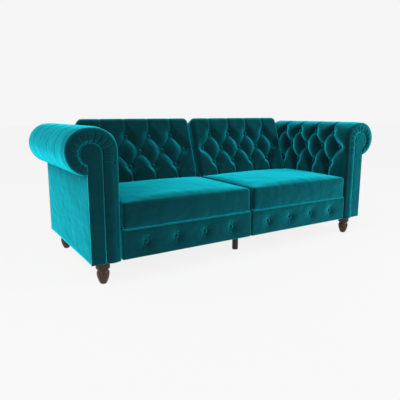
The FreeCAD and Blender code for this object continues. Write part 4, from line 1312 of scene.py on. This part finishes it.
    def front_panel(self) -> bmesh.types.BMesh:
        """Padded front panel, drawn in at its buttons."""
        bm = soft_block(self.panel_low, self.panel_high, rounding=0.006, step=0.0045)
        spots = self.button_spots()
        for vert in bm.verts:
            front = smooth_step(0.0, 0.016, self.panel_low.y + 0.020 - vert.co.y)
            near, angle = nearest_spot(spots, vert.co.x, vert.co.z)
            drawn = self.dimple_depth * math.exp(-((near / self.dimple_reach) ** 1.5))
            ring = math.exp(-((near - self.pucker_ring) / self.pucker_width) ** 2)
            drawn += self.pucker_depth * ring * math.sin(self.puckers * angle)
            slack = noise.noise(Vector((vert.co.x * 7.0, vert.co.z * 4.0, 9.0)))
            vert.co.y += (drawn + self.panel_slack * slack) * front
        return bm

    def rear_rail(self) -> bmesh.types.BMesh:
        """Velvet round the rail behind the seat."""
        low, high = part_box("right_seat_rear_rail")
        box_low, box_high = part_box("right_seat_frame")
        low.x, high.x = box_low.x, box_high.x
        high.y = max(high.y, box_high.y)
        wrap = Vector((0.001, 0.0012, 0.0))
        return soft_block(low - wrap, high + wrap, rounding=0.004, step=0.012)

    def dust_cloth(self) -> bmesh.types.BMesh:
        """Dust cloth under the seat box, slightly slack."""
        low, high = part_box("right_seat_dust_cover")
        bm = bmesh.new()
        bmesh.ops.create_grid(bm, x_segments=40, y_segments=28, size=0.5)
        for vert in bm.verts:
            across, along = vert.co.x + 0.5, vert.co.y + 0.5
            sag = self.cloth_sag * fullness(across, along, power=0.7)
            vert.co = Vector((
                low.x + across * (high.x - low.x),
                low.y + along * (high.y - low.y),
                high.z - self.cloth_gap - sag,
            ))
        bmesh.ops.solidify(bm, geom=bm.faces[:], thickness=self.cloth_thickness)
        bmesh.ops.recalc_face_normals(bm, faces=bm.faces)
        return bm

    def build(self, shop: Workshop) -> None:
        """Makes and dresses the seat's pieces."""
        shop.piece(
            self.cushion(), "seat_cushion_cover", BASE_BODY, self.side,
            replaces=("seat_cushion",),
        )
        shop.piece(self.welt(), "seat_cushion_welt", BASE_BODY, self.side, finish=PIPING_FINISH)
        shop.piece(
            self.front_panel(), "seat_front_cover", BASE_BODY, self.side,
            replaces=("seat_front_panel",),
        )
        shop.piece(
            self.rear_rail(), "seat_rear_cover", BASE_BODY, self.side,
            replaces=("seat_rear_rail",),
        )
        cloth = shop.piece(
            self.dust_cloth(), "seat_dust_cloth", BASE_BODY, self.side,
            slot="dust_cloth", replaces=("seat_dust_cover",),
        )
        self.side.node("seat_frame")


@dataclass
class Underframe:
    """Pieces that the sofa has once: covered rear stretcher and the buttons of both front panels."""

    seats: Sequence[SeatBox]
    button_lift: float = 0.003
    slack: float = 0.0012

    def stretcher(self) -> bmesh.types.BMesh:
        """Velvet round the rear stretcher."""
        low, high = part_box("rear_stretcher")
        wrap = Vector((0.0, 0.0015, 0.0))
        bm = soft_block(low - wrap, high + wrap, rounding=0.005, step=0.012)
        for vert in bm.verts:
            vert.co.y += self.slack * noise.noise(Vector((vert.co.x * 3.0, vert.co.z * 6.0, 4.0)))
        return bm

    def buttons(self) -> bmesh.types.BMesh:
        """Buttons of both front panels."""
        bm = bmesh.new()
        button = CoveredButton()
        for seat in self.seats:
            for x, z in seat.button_spots():
                y = seat.panel_low.y + seat.dimple_depth - self.button_lift
                button.add_to(bm, Vector((x * seat.side.value, y, z)), Vector((0, -1, 0)))
        return bm

    def build(self, shop: Workshop) -> None:
        """Makes and dresses these pieces."""
        shop.piece(
            self.stretcher(), "rear_stretcher_cover", BASE_BODY, replaces=("rear_stretcher",)
        )
        shop.piece(
            self.buttons(), "seat_front_cover_buttons", BASE_BODY, replaces=("seat_front_buttons",)
        )


@dataclass
class Studio:
    """Pale floor, soft light and the camera."""

    pale: float = 0.913
    floor_pale: float = 0.922
    floor_share: float = 0.93
    floor_dark: Colour = (0.86, 0.86, 0.86)
    floor_light: Colour = (0.88, 0.88, 0.88)
    light: float = 0.87
    left_light: float = 0.95
    top_drop: float = 0.30
    floor_size: float = 60.0
    eye: Vector = Vector((-1.6405, -2.4332, 0.8811))
    yaw: float = 31.863
    pitch: float = 10.583
    lens: float = 38.398
    shift: Spot = (0.0064, -0.0175)

    def floor(self) -> None:
        """Pale floor that takes the sofa's shadow."""
        bm = bmesh.new()
        bmesh.ops.create_grid(bm, x_segments=1, y_segments=1, size=self.floor_size / 2)
        mesh = bpy.data.meshes.new("floor")
        bm.to_mesh(mesh)
        bm.free()
        shader = Shader("pale_floor")
        dust = shader.noise(shader.coords(), 3.0)
        shader.principled(
            Base_Color=shader.ramp(dust, [(0.2, self.floor_dark), (0.8, self.floor_light)]),
            Roughness=0.95,
            Specular_IOR_Level=0.0,
        )
        pale = {"Color": (self.floor_pale,) * 3, "Strength": 1.0}
        plain = shader.node("ShaderNodeEmission", values=pale)
        seen = shader.seen_plainly()
        lit = Sock(shader, shader.surface.outputs[0])
        mixed = shader.node("ShaderNodeMixShader", values={0: seen * self.floor_share, 1: lit, 2: plain})
        shader.put(shader.existing("OUTPUT_MATERIAL").inputs["Surface"], mixed)
        mesh.materials.append(shader.material)
        add_object("floor", mesh)

    def world(self) -> None:
        """Soft light that is fuller from the left and weaker from above, with a pale backdrop."""
        world = bpy.data.worlds.new("studio")
        world.use_nodes = True
        sky = NodeTree(world.node_tree)
        direction = sky.node("ShaderNodeTexCoord", out="Generated")
        across = sky.node("ShaderNodeSeparateXYZ", values={0: direction}, out="X")
        height = sky.node("ShaderNodeSeparateXYZ", values={0: direction}, out="Z")
        above = height.maths("MAXIMUM", height, 0.0)
        strength = self.light - across * self.left_light - above * self.top_drop
        strength = strength.maths("MAXIMUM", strength, 0.0)
        lit = sky.node("ShaderNodeBackground", values={"Color": (1.0, 1.0, 1.0), "Strength": strength})
        plain = sky.node("ShaderNodeBackground", values={"Color": (self.pale,) * 3, "Strength": 1.0})
        seen = sky.seen_plainly()
        mixed = sky.node("ShaderNodeMixShader", values={0: seen, 1: lit, 2: plain})
        sky.put(sky.existing("OUTPUT_WORLD").inputs["Surface"], mixed)
        bpy.context.scene.world = world

    def lamp(self, name: str, place: Vector, aim: Vector, size: float, power: float) -> None:
        """Soft square lamp.

        Args:
            name: its name.
            place: where it stands.
            aim: what it points at.
            size: its width.
            power: its power in watts.
        """
        data = bpy.data.lights.new(name, "AREA")
        data.size = size
        data.energy = power
        obj = add_object(name, data)
        obj.location = place
        obj.rotation_euler = (aim - place).to_track_quat("-Z", "Y").to_euler()

    def camera(self) -> None:
        """Camera at the photograph's place."""
        data = bpy.data.cameras.new("camera")
        data.lens = self.lens
        data.sensor_width = 36.0
        data.shift_x, data.shift_y = self.shift
        obj = add_object("camera", data)
        obj.location = self.eye
        obj.rotation_euler = (math.radians(90.0 - self.pitch), 0.0, math.radians(-self.yaw))
        bpy.context.scene.camera = obj

    def build(self) -> None:
        """Sets up stage, light and camera."""
        self.floor()
        self.world()
        self.lamp("key", Vector((-3.6, -1.6, 3.2)), Vector((0.0, 0.0, 0.5)), size=2.4, power=120.0)
        self.lamp("fill", Vector((2.6, -3.0, 2.4)), Vector((0.9, -0.3, 0.4)), size=1.8, power=125.0)
        self.camera()
        bpy.context.scene.view_settings.view_transform = "Standard"


def main() -> None:
    """Builds every sub-assembly in order, logging the face count of each piece."""
    logging.basicConfig(level=logging.INFO, format="%(name)s: %(message)s")
    finishes = Finishes()
    finishes.dress_nodes()
    shop = Workshop(finishes)
    seats = [SeatBox(side) for side in Side]
    assemblies = [ScrollArm(side) for side in Side] + [ReclineBack(side) for side in Side] + seats
    for assembly in assemblies + [Underframe(seats)]:
        assembly.build(shop)
    Studio().build()


if __name__ == "__main__":
    main()
